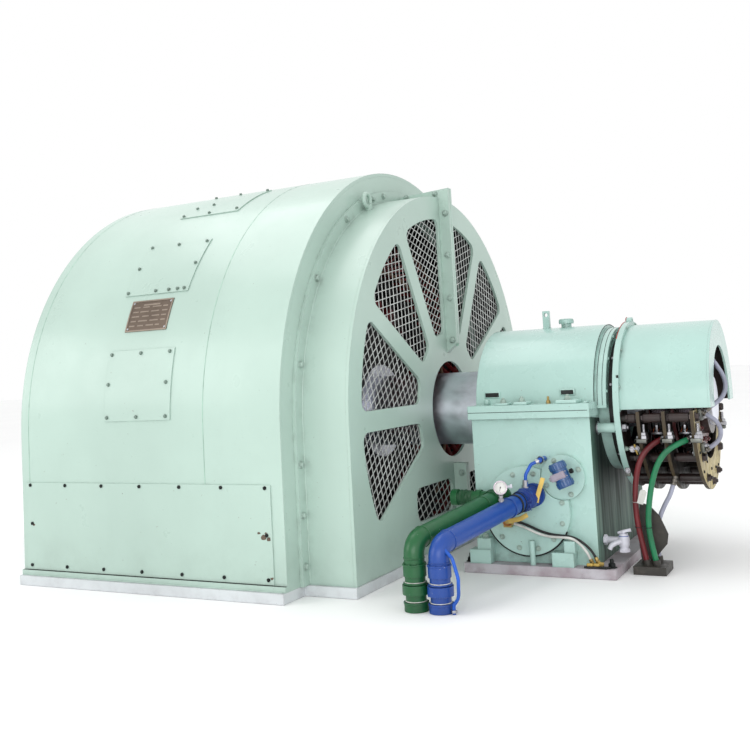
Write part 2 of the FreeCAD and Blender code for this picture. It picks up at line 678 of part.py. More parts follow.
b = body("fieldcoil_body")
sk = sketch(b, "fieldcoil_section", "YZ_Plane", ("-@fieldcoil_wide / 2", "@axis_height + @rim_rad + 22", MID + " - @rotor_len / 2 - 26"))
rect(sk, "@fieldcoil_wide", "84")
pad(b, sk, "@rotor_len + 52")
sk = sketch(b, "fieldcoil_hole", "YZ_Plane", ("-@pole_neck / 2", "@axis_height + @rim_rad", MID + " - @rotor_len / 2"))
rect(sk, "@pole_neck", "130")
pocket(b, sk, "@rotor_len", back=True)
first = b.Tip
doc.recompute()
tuned = []
# one coil, repeated about the shaft axis by placement
for k in range(POLES):
    f = doc.addObject("Part::Feature", "fieldcoil_%d" % k)
    shp = first.Shape.copy()
    shp.rotate(V(0, 0, dim("axis_height")), V(1, 0, 0), 360.0 * k / POLES)
    f.Shape = shp
    tuned.append(f)
node(group("fieldcoils_group", *tuned), "rotor_field_coils")

# ------------------------------------------------------------------ half coupling at the drive end
b = body("coupling_body")
sk = sketch(b, "coupling_disc", "YZ_Plane", ("0", "@axis_height", "-@coupling_end"))
circle(sk, "@coupling_rad")
pad(b, sk, "@coupling_thick")
sk = sketch(b, "coupling_hub", "YZ_Plane", ("0", "@axis_height", "-@coupling_end"))
circle(sk, "158")
pad(b, sk, "118")
sk = sketch(b, "coupling_bore", "YZ_Plane", ("0", "@axis_height", "-@coupling_end - 5"))
circle(sk, "120")
pocket(b, sk, "140", back=True)
sk = sketch(b, "coupling_hole_one", "YZ_Plane", ("0", "@axis_height", "-@coupling_end - 5"))
circle(sk, "@coupling_hole / 2", (0.0, dim("coupling_pcd") / 2))
hole = pocket(b, sk, "@coupling_thick + 10", back=True)
ring = b.newObject("PartDesign::PolarPattern", "coupling_holes")
ring.Originals = [hole]
ring.Axis = (sk, ["N_Axis"])
ring.Angle = 360.0
ring.Occurrences = 12
b.Tip = ring
node(b, "half_coupling")


# ------------------------------------------------------------------ pedestal bearings
def bearing(tag, x_lo, length, label, ends, feet):
    """Pedestal, cap, feet and sole plate. x_lo and length are expressions of the split flange.
    ends: how far the sole reaches out at both ends; feet: (low from, to, up from, to) along the shaft."""
    lo, ln = "(%s)" % x_lo, "(%s)" % length
    sole = box(tag + "_sole", lo + " - %g" % ends[0], "-@ped_sole_half", "0", ln + " + %g" % (ends[0] + ends[1]), "2 * @ped_sole_half", "@ped_sole")
    ped = box(tag + "_ped", lo + " + 6", "-@ped_half", "@ped_sole", ln + " - 12", "2 * @ped_half", "@axis_height - @ped_sole - @split_thick + 1")
    flange = box(tag + "_flange", lo, "-@bear_half", "@axis_height - @split_thick", ln, "2 * @bear_half", "@split_thick")
    bore = cyl(tag + "_bore", "@bear_bore", ln + " + 40", lo + " - 20", "0", "@axis_height")
    node(cut(tag + "_pedestal", fuse(tag + "_ped_fuse", ped, flange), bore), "bearing_pedestal_" + label)
    c1 = cyl(tag + "_cap", "@cap_rad", ln + " - 6", lo, "0", "@axis_height")
    c1.Angle = 180.0
    c1.Placement = FreeCAD.Placement(V(0, 0, 0), Rot(V(0, 1, 0), 90).multiply(Rot(V(0, 0, 1), 90)))
    place(c1, lo, "0", "@axis_height")
    f2 = box(tag + "_upflange", lo, "-@bear_half", "@axis_height", ln, "2 * @bear_half", "@split_thick")
    bore2 = cyl(tag + "_bore2", "@bear_bore", ln + " + 40", lo + " - 20", "0", "@axis_height")
    node(cut(tag + "_capcut", fuse(tag + "_cap_fuse", c1, f2), bore2), "bearing_cap_" + label)
    blocks = []
    for i, (a, b2, c, d) in enumerate(feet):
        for k, (y, y2) in enumerate((("-@ped_half - 54", "-@ped_half - 46"), ("@ped_half", "@ped_half"))):
            low = box("%s_foot%d%d" % (tag, i, k), lo + " + %g" % a, y, "@ped_sole", "%g" % (b2 - a), "54", "@foot_low")
            up = box("%s_footup%d%d" % (tag, i, k), lo + " + %g" % c, y2, "@ped_sole + @foot_low", "%g" % (d - c), "46", "@foot_up")
            blocks.append(fuse("%s_feet%d%d" % (tag, i, k), low, up))
    return sole, blocks


BX = "@plate_x + @bear_gap"
DX = DRIVE_PLATE + " - @drive_gap - @drive_len"
sole_r, feet_r = bearing("rs", BX, "@bear_len", "ring_side", (33.0, 66.0), ((-10.0, 70.0, 18.0, 70.0), (301.0, 379.0, 345.0, 384.0)))
sole_d, feet_d = bearing("ds", DX, "@drive_len", "drive_side", (25.0, 37.0), ((-4.0, 72.0, 10.0, 58.0), (313.0, 389.0, 327.0, 375.0)))
node(group("soles_group", sole_r, sole_d), "pedestal_soles")
node(group("feet_group", *(feet_r + feet_d)), "pedestal_feet")

# end covers and seal rings round the shaft
BE = "(@plate_x + @bear_gap + @bear_len - 6)"  # outer face of the slip-ring side bearing
full = cyl("cover_low", "250", "42", BE, "0", "@axis_height")
half = cyl("cover_up", "296", "42", BE, "0", "@axis_height")
half.Angle = 180.0
half.Placement = FreeCAD.Placement(V(0, 0, 0), Rot(V(0, 1, 0), 90).multiply(Rot(V(0, 0, 1), 90)))
place(half, BE, "0", "@axis_height")
# the split flange stands 6 mm further out than the pedestal, so the cover is cut back round it
notch = box("cover_notch", BE + " - 1", "-@bear_half", "@axis_height - @split_thick", "7", "2 * @bear_half", "2 * @split_thick")
bore = cyl("cover_bore", "@bear_bore", "80", BE + " - 10", "0", "@axis_height")
seal_in = cut(
    "seal_in_ring",
    cyl("seal_in_out", "215", "14", BX + " - 14", "0", "@axis_height"),
    cyl("seal_in_bore", "@bear_bore", "40", BX + " - 26", "0", "@axis_height"),
)
cov = cut("cover_cut2", cut("cover_cut1", fuse("cover_fuse", full, half), notch), bore)
node(cov, "bearing_end_cover_ring_side")
seal_out = cut(
    "seal_out_ring",
    cyl("seal_out_out", "262", "18", BE + " + 42", "0", "@axis_height"),
    cyl("seal_out_bore", "@bear_bore", "40", BE + " + 36", "0", "@axis_height"),
)
dseal = []
for i, x in enumerate((DX + " - 14", DX + " + @drive_len")):
    dseal.append(
        cut(
            "dseal_ring%d" % i,
            cyl("dseal_out%d" % i, "215", "14", x, "0", "@axis_height"),
            cyl("dseal_bore%d" % i, "@bear_bore", "40", x + " - 12", "0", "@axis_height"),
        )
    )
node(group("seals_group", seal_in, seal_out, *dseal), "shaft_seal_rings")

# oil cooler covers on the pedestals' near faces, and the instrument flange
RC = "(@plate_x + 441)"  # cover centre
RCZ = "(@axis_height - 357)"
cv = cyl("cooler_disc", "@cover_rad", "@cover_thick", RC, "-@ped_half", RCZ, "-Y")
nt = cyl("cooler_notch", "@port_rad + 1", "@cover_thick + 10", "@plate_x + 580", "-@ped_half + 5", "@axis_height - 237", "-Y")
dcv = cyl("cooler_disc_drive", "@cover_rad", "@cover_thick", DX + " + @drive_len / 2", "-@ped_half", RCZ, "-Y")
node(group("cooler_group", cut("cooler_cut", cv, nt), dcv), "oil_cooler_covers")
node(cyl("port_disc", "@port_rad", "16", "@plate_x + 580", "-@ped_half", "@axis_height - 237", "-Y"), "instrument_flange")

# transmitter on its stem
TX, TZ = "@plate_x + 590", "@axis_height - 222"
stem = cyl("tx_stem", "13", "40", TX, "-@ped_half - 16", TZ, "-Y")
tilt = Rot(V(0, 1, 0), -22.0)
bod2 = cyl("tx_body", "32", "92", TX + " + 22", "-@ped_half - 76", TZ + " - 41", rot=tilt)
node(fuse("tx_fuse", stem, bod2), "temperature_transmitter")

# cap fittings
eyes, breathers = [], []
for tag, xe, xb in (("r", "@plate_x + 437", "@plate_x + 518"), ("d", DX + " + 170", DX + " + 251")):
    lug = box("eye_plate_" + tag, xe + " - 13", "-9", "@axis_height + @cap_rad - 4", "26", "18", "74")
    lug_hole = cyl("eye_hole_" + tag, "8", "40", xe, "20", "@axis_height + @cap_rad + 54", "-Y")
    lug_drum = cyl("eye_drum_" + tag, "@cap_rad", "100", xe + " - 47", "0", "@axis_height")
    eyes.append(cut("eye_cut2_" + tag, cut("eye_cut_" + tag, lug, lug_hole), lug_drum))
    br = fuse(
        "breather_fuse_" + tag,
        cyl("breather_neck_" + tag, "20", "22", xb, "0", "@axis_height + @cap_rad - 4", "Z"),
        cyl("breather_top_" + tag, "29", "16", xb, "0", "@axis_height + @cap_rad + 14", "Z"),
    )
    br_drum = cyl("breather_drum_" + tag, "@cap_rad", "100", xb + " - 48", "0", "@axis_height")
    breathers.append(cut("breather_cut_" + tag, br, br_drum))
node(group("eyes_group", *eyes), "cap_lifting_eyes")
node(group("breathers_group", *breathers), "breather_caps")

# drain pipe at the front, drain valve at the end
node(
    cyl("drain_tube", "10", "86", "@plate_x + 458", "-@ped_half - @cover_thick - 13", "@ped_sole", "Z"),
    "drain_pipe",
)
vz = "@axis_height - 470"
valve = fuse(
    "valve_fuse",
    cyl("valve_stub", "13", "70", BE, "-300", vz),
    cyl("valve_body", "21", "64", BE + " + 72", "-300", vz + " - 40", "Z"),
    cyl("valve_hand", "28", "14", BE + " + 72", "-300", vz + " + 24", "Z"),
)
node(valve, "drain_valve")


# ------------------------------------------------------------------ cooling water pipes
def pipe(name, rad, pts, radii):
    """A pipe along straight runs joined by tangent arcs, swept as one closed solid."""
    P = [V(*p) for p in pts]
    edges = []
    start = P[0]
    length = 0.0
    for i in range(1, len(P) - 1):
        a, c, e = P[i - 1], P[i], P[i + 1]
        u = (c - a).normalize()
        w = (e - c).normalize()
        turn = u.getAngle(w)
        r = radii[i - 1]
        t = r * math.tan(turn / 2)
        p1, p2 = c - u * t, c + w * t
        bis = (w - u).normalize()
        mid = c + bis * (r / math.cos(turn / 2) - r)
        edges.append(Part.LineSegment(start, p1).toShape())
        edges.append(Part.Arc(p1, mid, p2).toShape())
        length += (p1 - start).Length + r * turn
        start = p2
    edges.append(Part.LineSegment(start, P[-1]).toShape())
    length += (P[-1] - start).Length
    wire = Part.Wire(edges)
    first = (P[1] - P[0]).normalize()
    disc = Part.Wire([Part.makeCircle(rad, P[0], first)])
    solid = wire.makePipeShell([disc], True, True)
    want = math.pi * rad * rad * length
    print(
        "%s: radii %s, length %.0f, volume/section*length %.4f"
        % (name, [round(r) for r in radii], length, solid.Volume / want)
    )
    return solid, length


def ring_on(p, q, at, rad, wide):
    """A collar on the run from p to q, at millimetres along it."""
    p, q = V(*p), V(*q)
    u = (q - p).normalize()
    return Part.makeCylinder(rad, wide, p + u * at, u)


axis = dim("axis_height")
pr_ = dim("pipe_rad")
face = -(dim("ped_half") + dim("cover_thick"))
BLUE = [(X0 + 345.0, -985.0, 0.0), (X0 + 345.0, -985.0, axis - 374.0), (X0 + 473.0, face, axis - 298.0)]
GREEN = [(X0 + 259.0, -985.0, 0.0), (X0 + 259.0, -985.0, axis - 364.0), (X0 + 350.0, face, axis - 305.0)]


def water_pipe(name, pts, collar, flange_rad, extra=()):
    tube, _ = pipe(name, pr_, pts, [48.0])
    up = (pts[0], pts[1])
    run = (pts[1], pts[2])
    fit = [
        ring_on(*up, 0.0, pr_ + 6, 22.0),
        ring_on(*up, 52.0, pr_ + 9, 30.0),
        ring_on(*up, 108.0, pr_ + 4, 34.0),
    ]
    n = V(*pts[2]) - V(*pts[1])
    total = n.Length
    fit.append(ring_on(*run, total - collar[0], pr_ + collar[2], collar[1]))
    flange = Part.makeCylinder(flange_rad, 14.0, V(pts[2][0], face, pts[2][2]), V(0, -1, 0))
    solid = tube.fuse(fit + [flange] + list(extra)).removeSplitter()
    # nothing reaches behind the cover's face
    behind = Part.makeBox(600, 200, 600, V(pts[2][0] - 300, face, pts[2][2] - 300))
    solid = solid.cut(behind)
    f = doc.addObject("Part::Feature", name)
    f.Shape = solid
    return f


node(water_pipe("pipe_blue", BLUE, (96.0, 86.0, 4.0), 42.0), "cooling_pipe_inlet")
# the outlet has a plugged branch towards the housing
BY, BZ = -430.0, axis - 308.0
branch = [
    Part.makeCylinder(24.0, 182.0, V(X0 + 164.0, BY, BZ), V(1, 0, 0)),
    Part.makeCylinder(30.0, 24.0, V(X0 + 166.0, BY, BZ), V(1, 0, 0)),
    Part.makeCylinder(29.0, 20.0, V(X0 + 262.0, BY, BZ), V(1, 0, 0)),
]
node(water_pipe("pipe_green", GREEN, (86.0, 56.0, 3.0), 38.0, branch), "cooling_pipe_outlet")

# pressure gauge on the inlet pipe
def along(pts, share):
    a, c = V(*pts[1]), V(*pts[2])
    return a + (c - a) * share


gp = along(BLUE, 0.63)
g_stem = Part.makeCylinder(8.0, 30.0, gp + V(0, 0, pr_ - 3), V(0, 0, 1))
g_case = Part.makeCylinder(24.0, 30.0, gp + V(-2, 15, pr_ + 47), V(0.25, -1, 0.1))
gf = doc.addObject("Part::Feature", "gauge_shape")
inlet = [o for o in NODES if o.Label == "cooling_pipe_inlet"][0]
gf.Shape = g_stem.fuse(g_case).removeSplitter().cut(inlet.Shape)
node(gf, "pressure_gauge")

# ------------------------------------------------------------------ slip-ring gear
GX = "(@plate_x + 758)"
disc = cyl("disc_round", "@disc_rad", "@disc_thick", GX, "0", "@axis_height")
ear = cyl("disc_ear", "18", "@disc_thick", GX, "0", "@axis_height + @disc_rad - 2")
hole = cyl("disc_bore", "196", "@disc_thick + 10", GX + " - 5", "0", "@axis_height")
eyeh = cyl("disc_ear_hole", "5", "@disc_thick + 10", GX + " - 5", "0", "@axis_height + @disc_rad + 5")
node(cut("disc_cut2", cut("disc_cut", fuse("disc_fuse", disc, ear), hole), eyeh), "carrier_disc")

b = body("hood_body")
HX = "@plate_x + 780"
sk = sketch(b, "hood_out", "YZ_Plane", ("0", "@axis_height", HX))
arch(sk, "@hood_rad", "@hood_low")
pad(b, sk, "@hood_len - 8")
sk = sketch(b, "hood_in", "YZ_Plane", ("0", "@axis_height", HX + " - 5"))
arch(sk, "@hood_rad - @hood_wall", "@hood_low + 5")
pocket(b, sk, "@hood_len + 10", back=True)
node(b, "slip_ring_hood")
b = body("hoodend_body")
sk = sketch(b, "hoodend_out", "YZ_Plane", ("0", "@axis_height", HX + " + @hood_len - 8"))
arch(sk, "@hood_rad", "@hood_low")
pad(b, sk, "8")
sk = sketch(b, "hoodend_in", "YZ_Plane", ("0", "@axis_height", HX + " + @hood_len - 13"))
arch(sk, "@arch_rad", "@hood_low + 5")
pocket(b, sk, "20", back=True)
node(b, "hood_end_plate")

# stand-off rods from the pedestal to the disc, and tie rods from the disc through the brush ring plates
TIES = ((-290.0, -40.0), (290.0, -40.0), (-197.0, -188.0), (197.0, -188.0))
rods = []
for i, y in enumerate((-284.0, 284.0)):
    rods.append(cyl("rod_a%d" % i, "18", GX + " - " + BE, BE, "%f" % y, "@axis_height - 72"))
for i, (y, z) in enumerate(TIES):
    rods.append(cyl("rod_b%d" % i, "12", "270", "@plate_x + 780", "%f" % y, "@axis_height + %f" % z))
node(group("rods_group", *rods), "standoff_rods")

PLATES = (838.0, 926.0, 1022.0)
plates = []
for i, x in enumerate(PLATES):
    o = cyl("bplate_out%d" % i, "@bplate_rad", "12", "@plate_x + %f" % x, "0", "@axis_height")
    n = cyl("bplate_in%d" % i, "212", "24", "@plate_x + %f" % (x - 5), "0", "@axis_height")
    t = box("bplate_top%d" % i, "@plate_x + %f" % (x - 5), "-400", "@axis_height - 16", "24", "800", "500")
    plate = cut("bplate%d" % i, cut("bplate_ring%d" % i, o, n), t)
    holes = []
    for j, (y, z) in enumerate(TIES):
        holes.append(cyl("bplate_hole%d%d" % (i, j), "12", "24", "@plate_x + %f" % (x - 5), "%f" % y, "@axis_height + %f" % z))
    plates.append(cut("bplate_done%d" % i, plate, fuse("bplate_holes%d" % i, *holes)))
node(group("bplates_group", *plates), "brush_ring_plates")

holders = []
for i, x in enumerate((860.0, 958.0)):
    for j, deg in enumerate((200.0, 232.0, 308.0, 340.0)):
        t = math.radians(deg)
        bx = doc.addObject("Part::Box", "holder_%d%d" % (i, j))
        bx.Length, bx.Width, bx.Height = 46.0, 44.0, 62.0
        r = 178.0
        # box axis z outwards along the radius
        out = V(0, math.cos(t), math.sin(t))
        side = V(1, 0, 0)
        rot = Rot(side, out.cross(side), out, "ZXY")
        base = V(0, 0, dim("axis_height")) + out * r
        m = FreeCAD.Placement(base + V(X0 + x + 3, 0, 0), rot)
        bx.Placement = m.multiply(FreeCAD.Placement(V(0, -22.0, 0), Rot()))
        holders.append(bx)
node(group("holders_group", *holders), "brush_holders")

rs = []
for i, x in enumerate((860.0, 958.0)):
    rs.append(
        cut(
            "slip%d" % i,
            cyl("slip_out%d" % i, "@slip_rad", "@slip_wide", "@plate_x + %f" % (x + 2), "0", "@axis_height"),
            cyl("slip_in%d" % i, "@shaft_tail + 30", "@slip_wide + 10", "@plate_x + %f" % (x - 3), "0", "@axis_height"),
        )
    )
node(group("slips_group", *rs), "slip_rings")
hub = cut(
    "hub_cut",
    cyl("hub_out", "@shaft_tail + 30", "222", "@plate_x + 825", "0", "@axis_height"),
    cyl("hub_in", "@shaft_tail", "240", "@plate_x + 815", "0", "@axis_height"),
)
node(hub, "slip_ring_hub")


# ------------------------------------------------------------------ cables
def cable(name, rad, route):
    """A cable of round section along its route, given from the end plate's centre. Each corner is
    rounded with the largest arc that its two runs leave room for. Returns its shape, its route and its length."""
    P = [V(X0 + x, y, axis + z) for x, y, z in route]
    radii, runs = [], [(b - a).Length for a, b in zip(P[:-1], P[1:])]
    for k in range(1, len(P) - 1):
        turn = (P[k] - P[k - 1]).getAngle(P[k + 1] - P[k])
        radii.append(0.45 * min(runs[k - 1], runs[k]) / math.tan(turn / 2))
    print(name, "runs", [round(r) for r in runs])
    solid, length = pipe(name, rad, [(p.x, p.y, p.z) for p in P], radii)
    f = doc.addObject("Part::Feature", name)
    f.Shape = solid
    return f, P, length


def stub(at, towards, rad, length):
    """A short barrel that ends at the point at, pointing towards the next one."""
    u = (towards - at).normalize()
    return Part.makeCylinder(rad, length, at - u * length, u)


RED = [(906, -267, -119), (874, -288, -134), (838, -306, -182), (819, -308, -250), (812, -309, -325), (813, -306, -400), (823, -302, -468), (835, -300, -534)]
GRN = [(998, -275, -120), (955, -306, -136), (908, -318, -180), (880, -319, -250), (862, -314, -325), (852, -311, -400), (856, -307, -468), (868, -303, -534)]
GRY = [(926, -203, -287), (918, -212, -317), (897, -222, -352), (876, -228, -397), (865, -231, -446), (862, -232, -495), (866, -233, -534)]
LOOP1 = [(1062, -95, 196), (1072, -97, 164), (1091, -102, 134), (1112, -108, 98), (1122, -116, 58), (1111, -134, 22), (1090, -164, 0), (1070, -194, -14)]
LOOP2 = [(1062, -236, -34), (1088, -232, -50), (1106, -227, -80), (1105, -220, -112), (1088, -213, -138), (1064, -208, -152)]
LEAD1 = [(396, -414, -391), (440, -414, -404), (484, -413, -424), (526, -412, -437), (568, -412, -440), (608, -411, -443), (645, -410, -463), (677, -409, -495), (690, -408, -526)]
LEAD2 = [(396, -422, -400), (438, -424, -413), (481, -425, -432), (524, -425, -443), (567, -424, -444), (610, -424, -445), (641, -421, -471), (662, -416, -502), (671, -410, -532)]
c_red, p_red, _ = cable("red_cable", 10.0, RED)
c_grn, p_grn, _ = cable("green_cable", 10.0, GRN)
c_gry, p_gry, _ = cable("grey_cable", 8.0, GRY)
c_l1, p_l1, _ = cable("brush_lead_1", 8.0, LOOP1)
c_l2, p_l2, _ = cable("brush_lead_2", 8.0, LOOP2)
c_s1, p_s1, _ = cable("sensor_lead_1", 4.5, LEAD1)
c_s2, p_s2, _ = cable("sensor_lead_2", 4.5, LEAD2)
for f, label in (
    (c_red, "cable_red"),
    (c_grn, "cable_green"),
    (c_gry, "cable_grey"),
    (c_l1, "brush_lead_upper"),
    (c_l2, "brush_lead_lower"),
    (c_s1, "sensor_lead_black"),
    (c_s2, "sensor_lead_white"),
):
    node(f, label)

# terminals on the brush ring plates, with barrels that hold the cables' ends
def block(x0, x1, y0, y1, z0, z1):
    return Part.makeBox(x1 - x0, y1 - y0, z1 - z0, V(X0 + x0, y0, axis + z0))


def stud(x, y, z, rad, high):
    return Part.makeCylinder(rad, high, V(X0 + x, y, axis + z), V(0, 0, 1))


terms = []
for k, x in enumerate(PLATES):
    for sgn in (-1, 1):
        y0, y1 = (-292.0, -238.0) if sgn < 0 else (238.0, 292.0)
        t = block(x - 12, x, y0, y1, -128, -98).fuse(stud(x - 8, (y0 + y1) / 2, -100, 8.0, 40))
        if sgn < 0 and k == 1:
            t = t.fuse(stub(p_red[0], p_red[1], 12.0, 22.0))
        if sgn < 0 and k == 2:
            t = t.fuse(stub(p_grn[0], p_grn[1], 12.0, 24.0))
        terms.append(t)
terms.append(stub(p_gry[0], p_gry[1], 10.0, 34.0))
t4 = block(1034, 1050, -248, -206, -56, -14)
t4 = t4.fuse(stub(p_l1[-1], p_l1[-2], 10.0, 30.0)).fuse(stub(p_l2[0], p_l2[1], 10.0, 18.0))
terms.append(t4)
terms.append(block(1034, 1048, -230, -188, -170, -136).fuse(stub(p_l2[-1], p_l2[-2], 10.0, 24.0)))
terms.append(block(1048, 1082, -110, -80, 206, 246).fuse(stub(p_l1[0], p_l1[1], 10.0, 20.0)))
plates_node = [o for o in NODES if o.Label == "brush_ring_plates"][0]
doc.recompute()
keep = []
for k, t in enumerate(terms):
    f = doc.addObject("Part::Feature", "terminal_%d" % k)
    f.Shape = t.removeSplitter().cut(plates_node.Shape)
    keep.append(f)
node(group("terminals_group", *keep), "brush_terminals")

# cable entry on the floor, with its glands and a guide sheet behind the cables
entry = block(795, 908, -340, -212, -580, -552)
guide = Part.Face(
    Part.makePolygon(
        [V(X0 + x, -264.0, axis + z) for x, z in ((812, -560), (806, -495), (806, -410), (818, -340), (852, -353), (883, -387), (909, -450), (903, -485), (864, -530), (860, -560), (812, -560))]
    )
).extrude(V(0, 5, 0))
entry = entry.fuse(guide)
for route, rad in ((p_red, 14.0), (p_grn, 14.0), (p_gry, 12.0)):
    entry = entry.fuse(stub(route[-1], route[-2], rad, 26.0))
f = doc.addObject("Part::Feature", "entry_shape")
f.Shape = entry.removeSplitter()
node(f, "cable_entry_box")

# the sensor leads run from a small block on the cooler cover to a gland on the pedestal's sole
cover_face = -(dim("ped_half") + dim("cover_thick"))
g1 = Part.makeBox(30, -cover_face * 0 + 20, 40, V(X0 + 356.0, cover_face - 20.0, axis - 415.0))
g1 = g1.fuse(stub(p_s1[0], p_s1[1], 6.0, 16.0)).fuse(stub(p_s2[0], p_s2[1], 6.0, 16.0))
g2 = Part.makeBox(54, 30, axis - 540.0 - dim("ped_sole"), V(X0 + 654.0, -424.0, dim("ped_sole")))
g2 = g2.fuse(stub(p_s1[-1], p_s1[-2], 6.5, 18.0)).fuse(stub(p_s2[-1], p_s2[-2], 6.5, 12.0))
shapes = []
for k, g in enumerate((g1, g2)):
    f = doc.addObject("Part::Feature", "lead_gland_%d" % k)
    f.Shape = g.removeSplitter()
    shapes.append(f)
node(group("lead_glands_group", *shapes), "lead_glands")

# oil level hose from the inlet's coupling to its boss, and the vent hose beside the inlet's leg
h1, _ = pipe("level_hose", 6.0, [(X0 + 458, -450, axis - 268), (X0 + 461, -449, axis - 222), (X0 + 480, -438, axis - 186), (X0 + 509, -427, axis - 173)], [24.0, 20.0])
h1 = h1.fuse(Part.makeCylinder(9.0, 30.0, V(X0 + 458, -450, axis - 276), V(0.06, 0.0, 1.0)))
h1 = h1.fuse(Part.makeCylinder(9.0, 56.0, V(X0 + 513, -436, axis - 171), V(0, 1, 0)))
h2, _ = pipe("vent_hose", 5.5, [(X0 + 368, -992, axis - 384), (X0 + 396, -998, axis - 410), (X0 + 414, -1002, axis - 470), (X0 + 412, -1002, axis - 530), (X0 + 393, -999, axis - 552), (X0 + 393, -999, 0)], [22.0, 40.0, 40.0, 12.0])
inlet = [o for o in NODES if o.Label == "cooling_pipe_inlet"][0].Shape
shapes = []
for k, g in enumerate((h1, h2)):
    f = doc.addObject("Part::Feature", "hose_%d" % k)
    g = g.removeSplitter().cut(inlet)
    best = max(g.Solids, key=lambda x: x.Volume)
    f.Shape = best
    shapes.append(f)
node(group("hoses_group", *shapes), "pipe_hoses")

# ------------------------------------------------------------------ checks and export
doc.recompute()
bad = []
for o in doc.Objects:
    if any(s in ("Invalid", "Error") for s in o.State):
        bad.append("%s (%s): %s" % (o.Name, o.Label, o.State))
for o in NODES:
    s = o.Shape
    if s.isNull() or not s.isValid() or s.Volume <= 0:
        bad.append("%s: null, invalid or empty shape" % o.Label)
if bad:
    raise RuntimeError("; ".join(bad))
labels = [o.Label for o in NODES]
assert len(set(labels)) == len(labels)
for o in NODES:
    o.Shape.exportStep("parts/%s.step" % o.Label)
    print("%-34s solids %2d  volume %.4f m3" % (o.Label, len(o.Shape.Solids), o.Shape.Volume / 1e9))
print("nodes:", len(NODES), "volume m3:", sum(o.Shape.Volume for o in NODES) / 1e9)
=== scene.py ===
import json
import math
import random

import bmesh
import bpy
import numpy as np
from mathutils import Matrix, Vector


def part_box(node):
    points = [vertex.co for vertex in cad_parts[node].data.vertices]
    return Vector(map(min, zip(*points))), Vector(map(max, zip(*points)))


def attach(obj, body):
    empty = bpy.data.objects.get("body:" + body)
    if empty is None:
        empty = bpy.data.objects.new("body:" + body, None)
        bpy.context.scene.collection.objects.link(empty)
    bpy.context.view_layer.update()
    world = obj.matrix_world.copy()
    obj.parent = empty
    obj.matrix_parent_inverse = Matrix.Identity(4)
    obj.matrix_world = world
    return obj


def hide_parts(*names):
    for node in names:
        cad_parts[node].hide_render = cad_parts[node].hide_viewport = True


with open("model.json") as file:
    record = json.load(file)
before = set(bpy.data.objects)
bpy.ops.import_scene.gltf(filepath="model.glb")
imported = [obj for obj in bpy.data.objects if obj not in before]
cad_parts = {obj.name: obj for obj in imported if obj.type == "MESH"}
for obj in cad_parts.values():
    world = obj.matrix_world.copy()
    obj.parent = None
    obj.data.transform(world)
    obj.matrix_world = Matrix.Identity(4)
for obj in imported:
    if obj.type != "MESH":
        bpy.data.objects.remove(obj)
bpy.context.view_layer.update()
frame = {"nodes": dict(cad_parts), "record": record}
N = frame["nodes"]
FRAME, ROTOR = "generator_frame", "rotor"

# Places along the shaft and round it, all in metres.
H = 0.580          # shaft axis above the floor
PX = 0.580         # end plate's face, slip-ring side
WALL = 0.382       # end wall, slip-ring side
SHELL0 = -0.840    # end wall, drive side
DPX = -0.968       # end plate's face, drive side
RS = 1.024         # housing radius
SOLE = 0.036
MID = (WALL + SHELL0) / 2
MIDP = (PX + DPX) / 2


# ---------------------------------------------------------------- mesh making
class Mesh:
    def __init__(self):
        self.v, self.f = [], []

    def add(self, verts, faces):
        n = len(self.v)
        self.v.extend([tuple(p) for p in verts])
        self.f.extend([tuple(i + n for i in f) for f in faces])
        return self


def basis(axis):
    """Two directions square to axis, and axis itself."""
    w = Vector(axis).normalized()
    u = w.orthogonal().normalized() if abs(w.z) > 0.9 else Vector((0, 0, 1)).cross(w).normalized()
    return u, w.cross(u), w


def lathe(m, profile, n, at, axis, turn=0.0, sweep=2 * math.pi, close=True):
    """Turns a profile of (radius, height) round axis through at."""
    u, v, w = basis(axis)
    at = Vector(at)
    full = abs(sweep - 2 * math.pi) < 1e-6
    cols = n if full else n + 1
    verts, faces = [], []
    for r, h in profile:
        for k in range(cols):
            t = turn + sweep * k / n
            verts.append(at + w * h + (u * math.cos(t) + v * math.sin(t)) * r)
    for i in range(len(profile) - 1):
        for k in range(n):
            a, b = i * cols + k, i * cols + (k + 1) % cols
            faces.append((a, b, b + cols, a + cols))
    if close and full:
        faces.append(tuple(range(cols - 1, -1, -1)))
        faces.append(tuple(range((len(profile) - 1) * cols, len(profile) * cols)))
    return m.add(verts, faces)


def ring(m, r0, r1, h0, h1, n, at, axis, ch=0.0008):
    """A ring with chamfered edges, from h0 to h1 along axis."""
    prof = [(r0, h0 + ch), (r0, h1 - ch), (r0 + ch, h1), (r1 - ch, h1), (r1, h1 - ch), (r1, h0 + ch), (r1 - ch, h0), (r0 + ch, h0), (r0, h0 + ch)]
    return lathe(m, prof[::-1], n, at, axis, close=False)


def disc(m, r, h0, h1, n, at, axis, ch=0.001, turn=0.0):
    """A round bar or plate with chamfered ends."""
    return lathe(m, [(r - ch, h0), (r, h0 + ch), (r, h1 - ch), (r - ch, h1)], n, at, axis, turn)


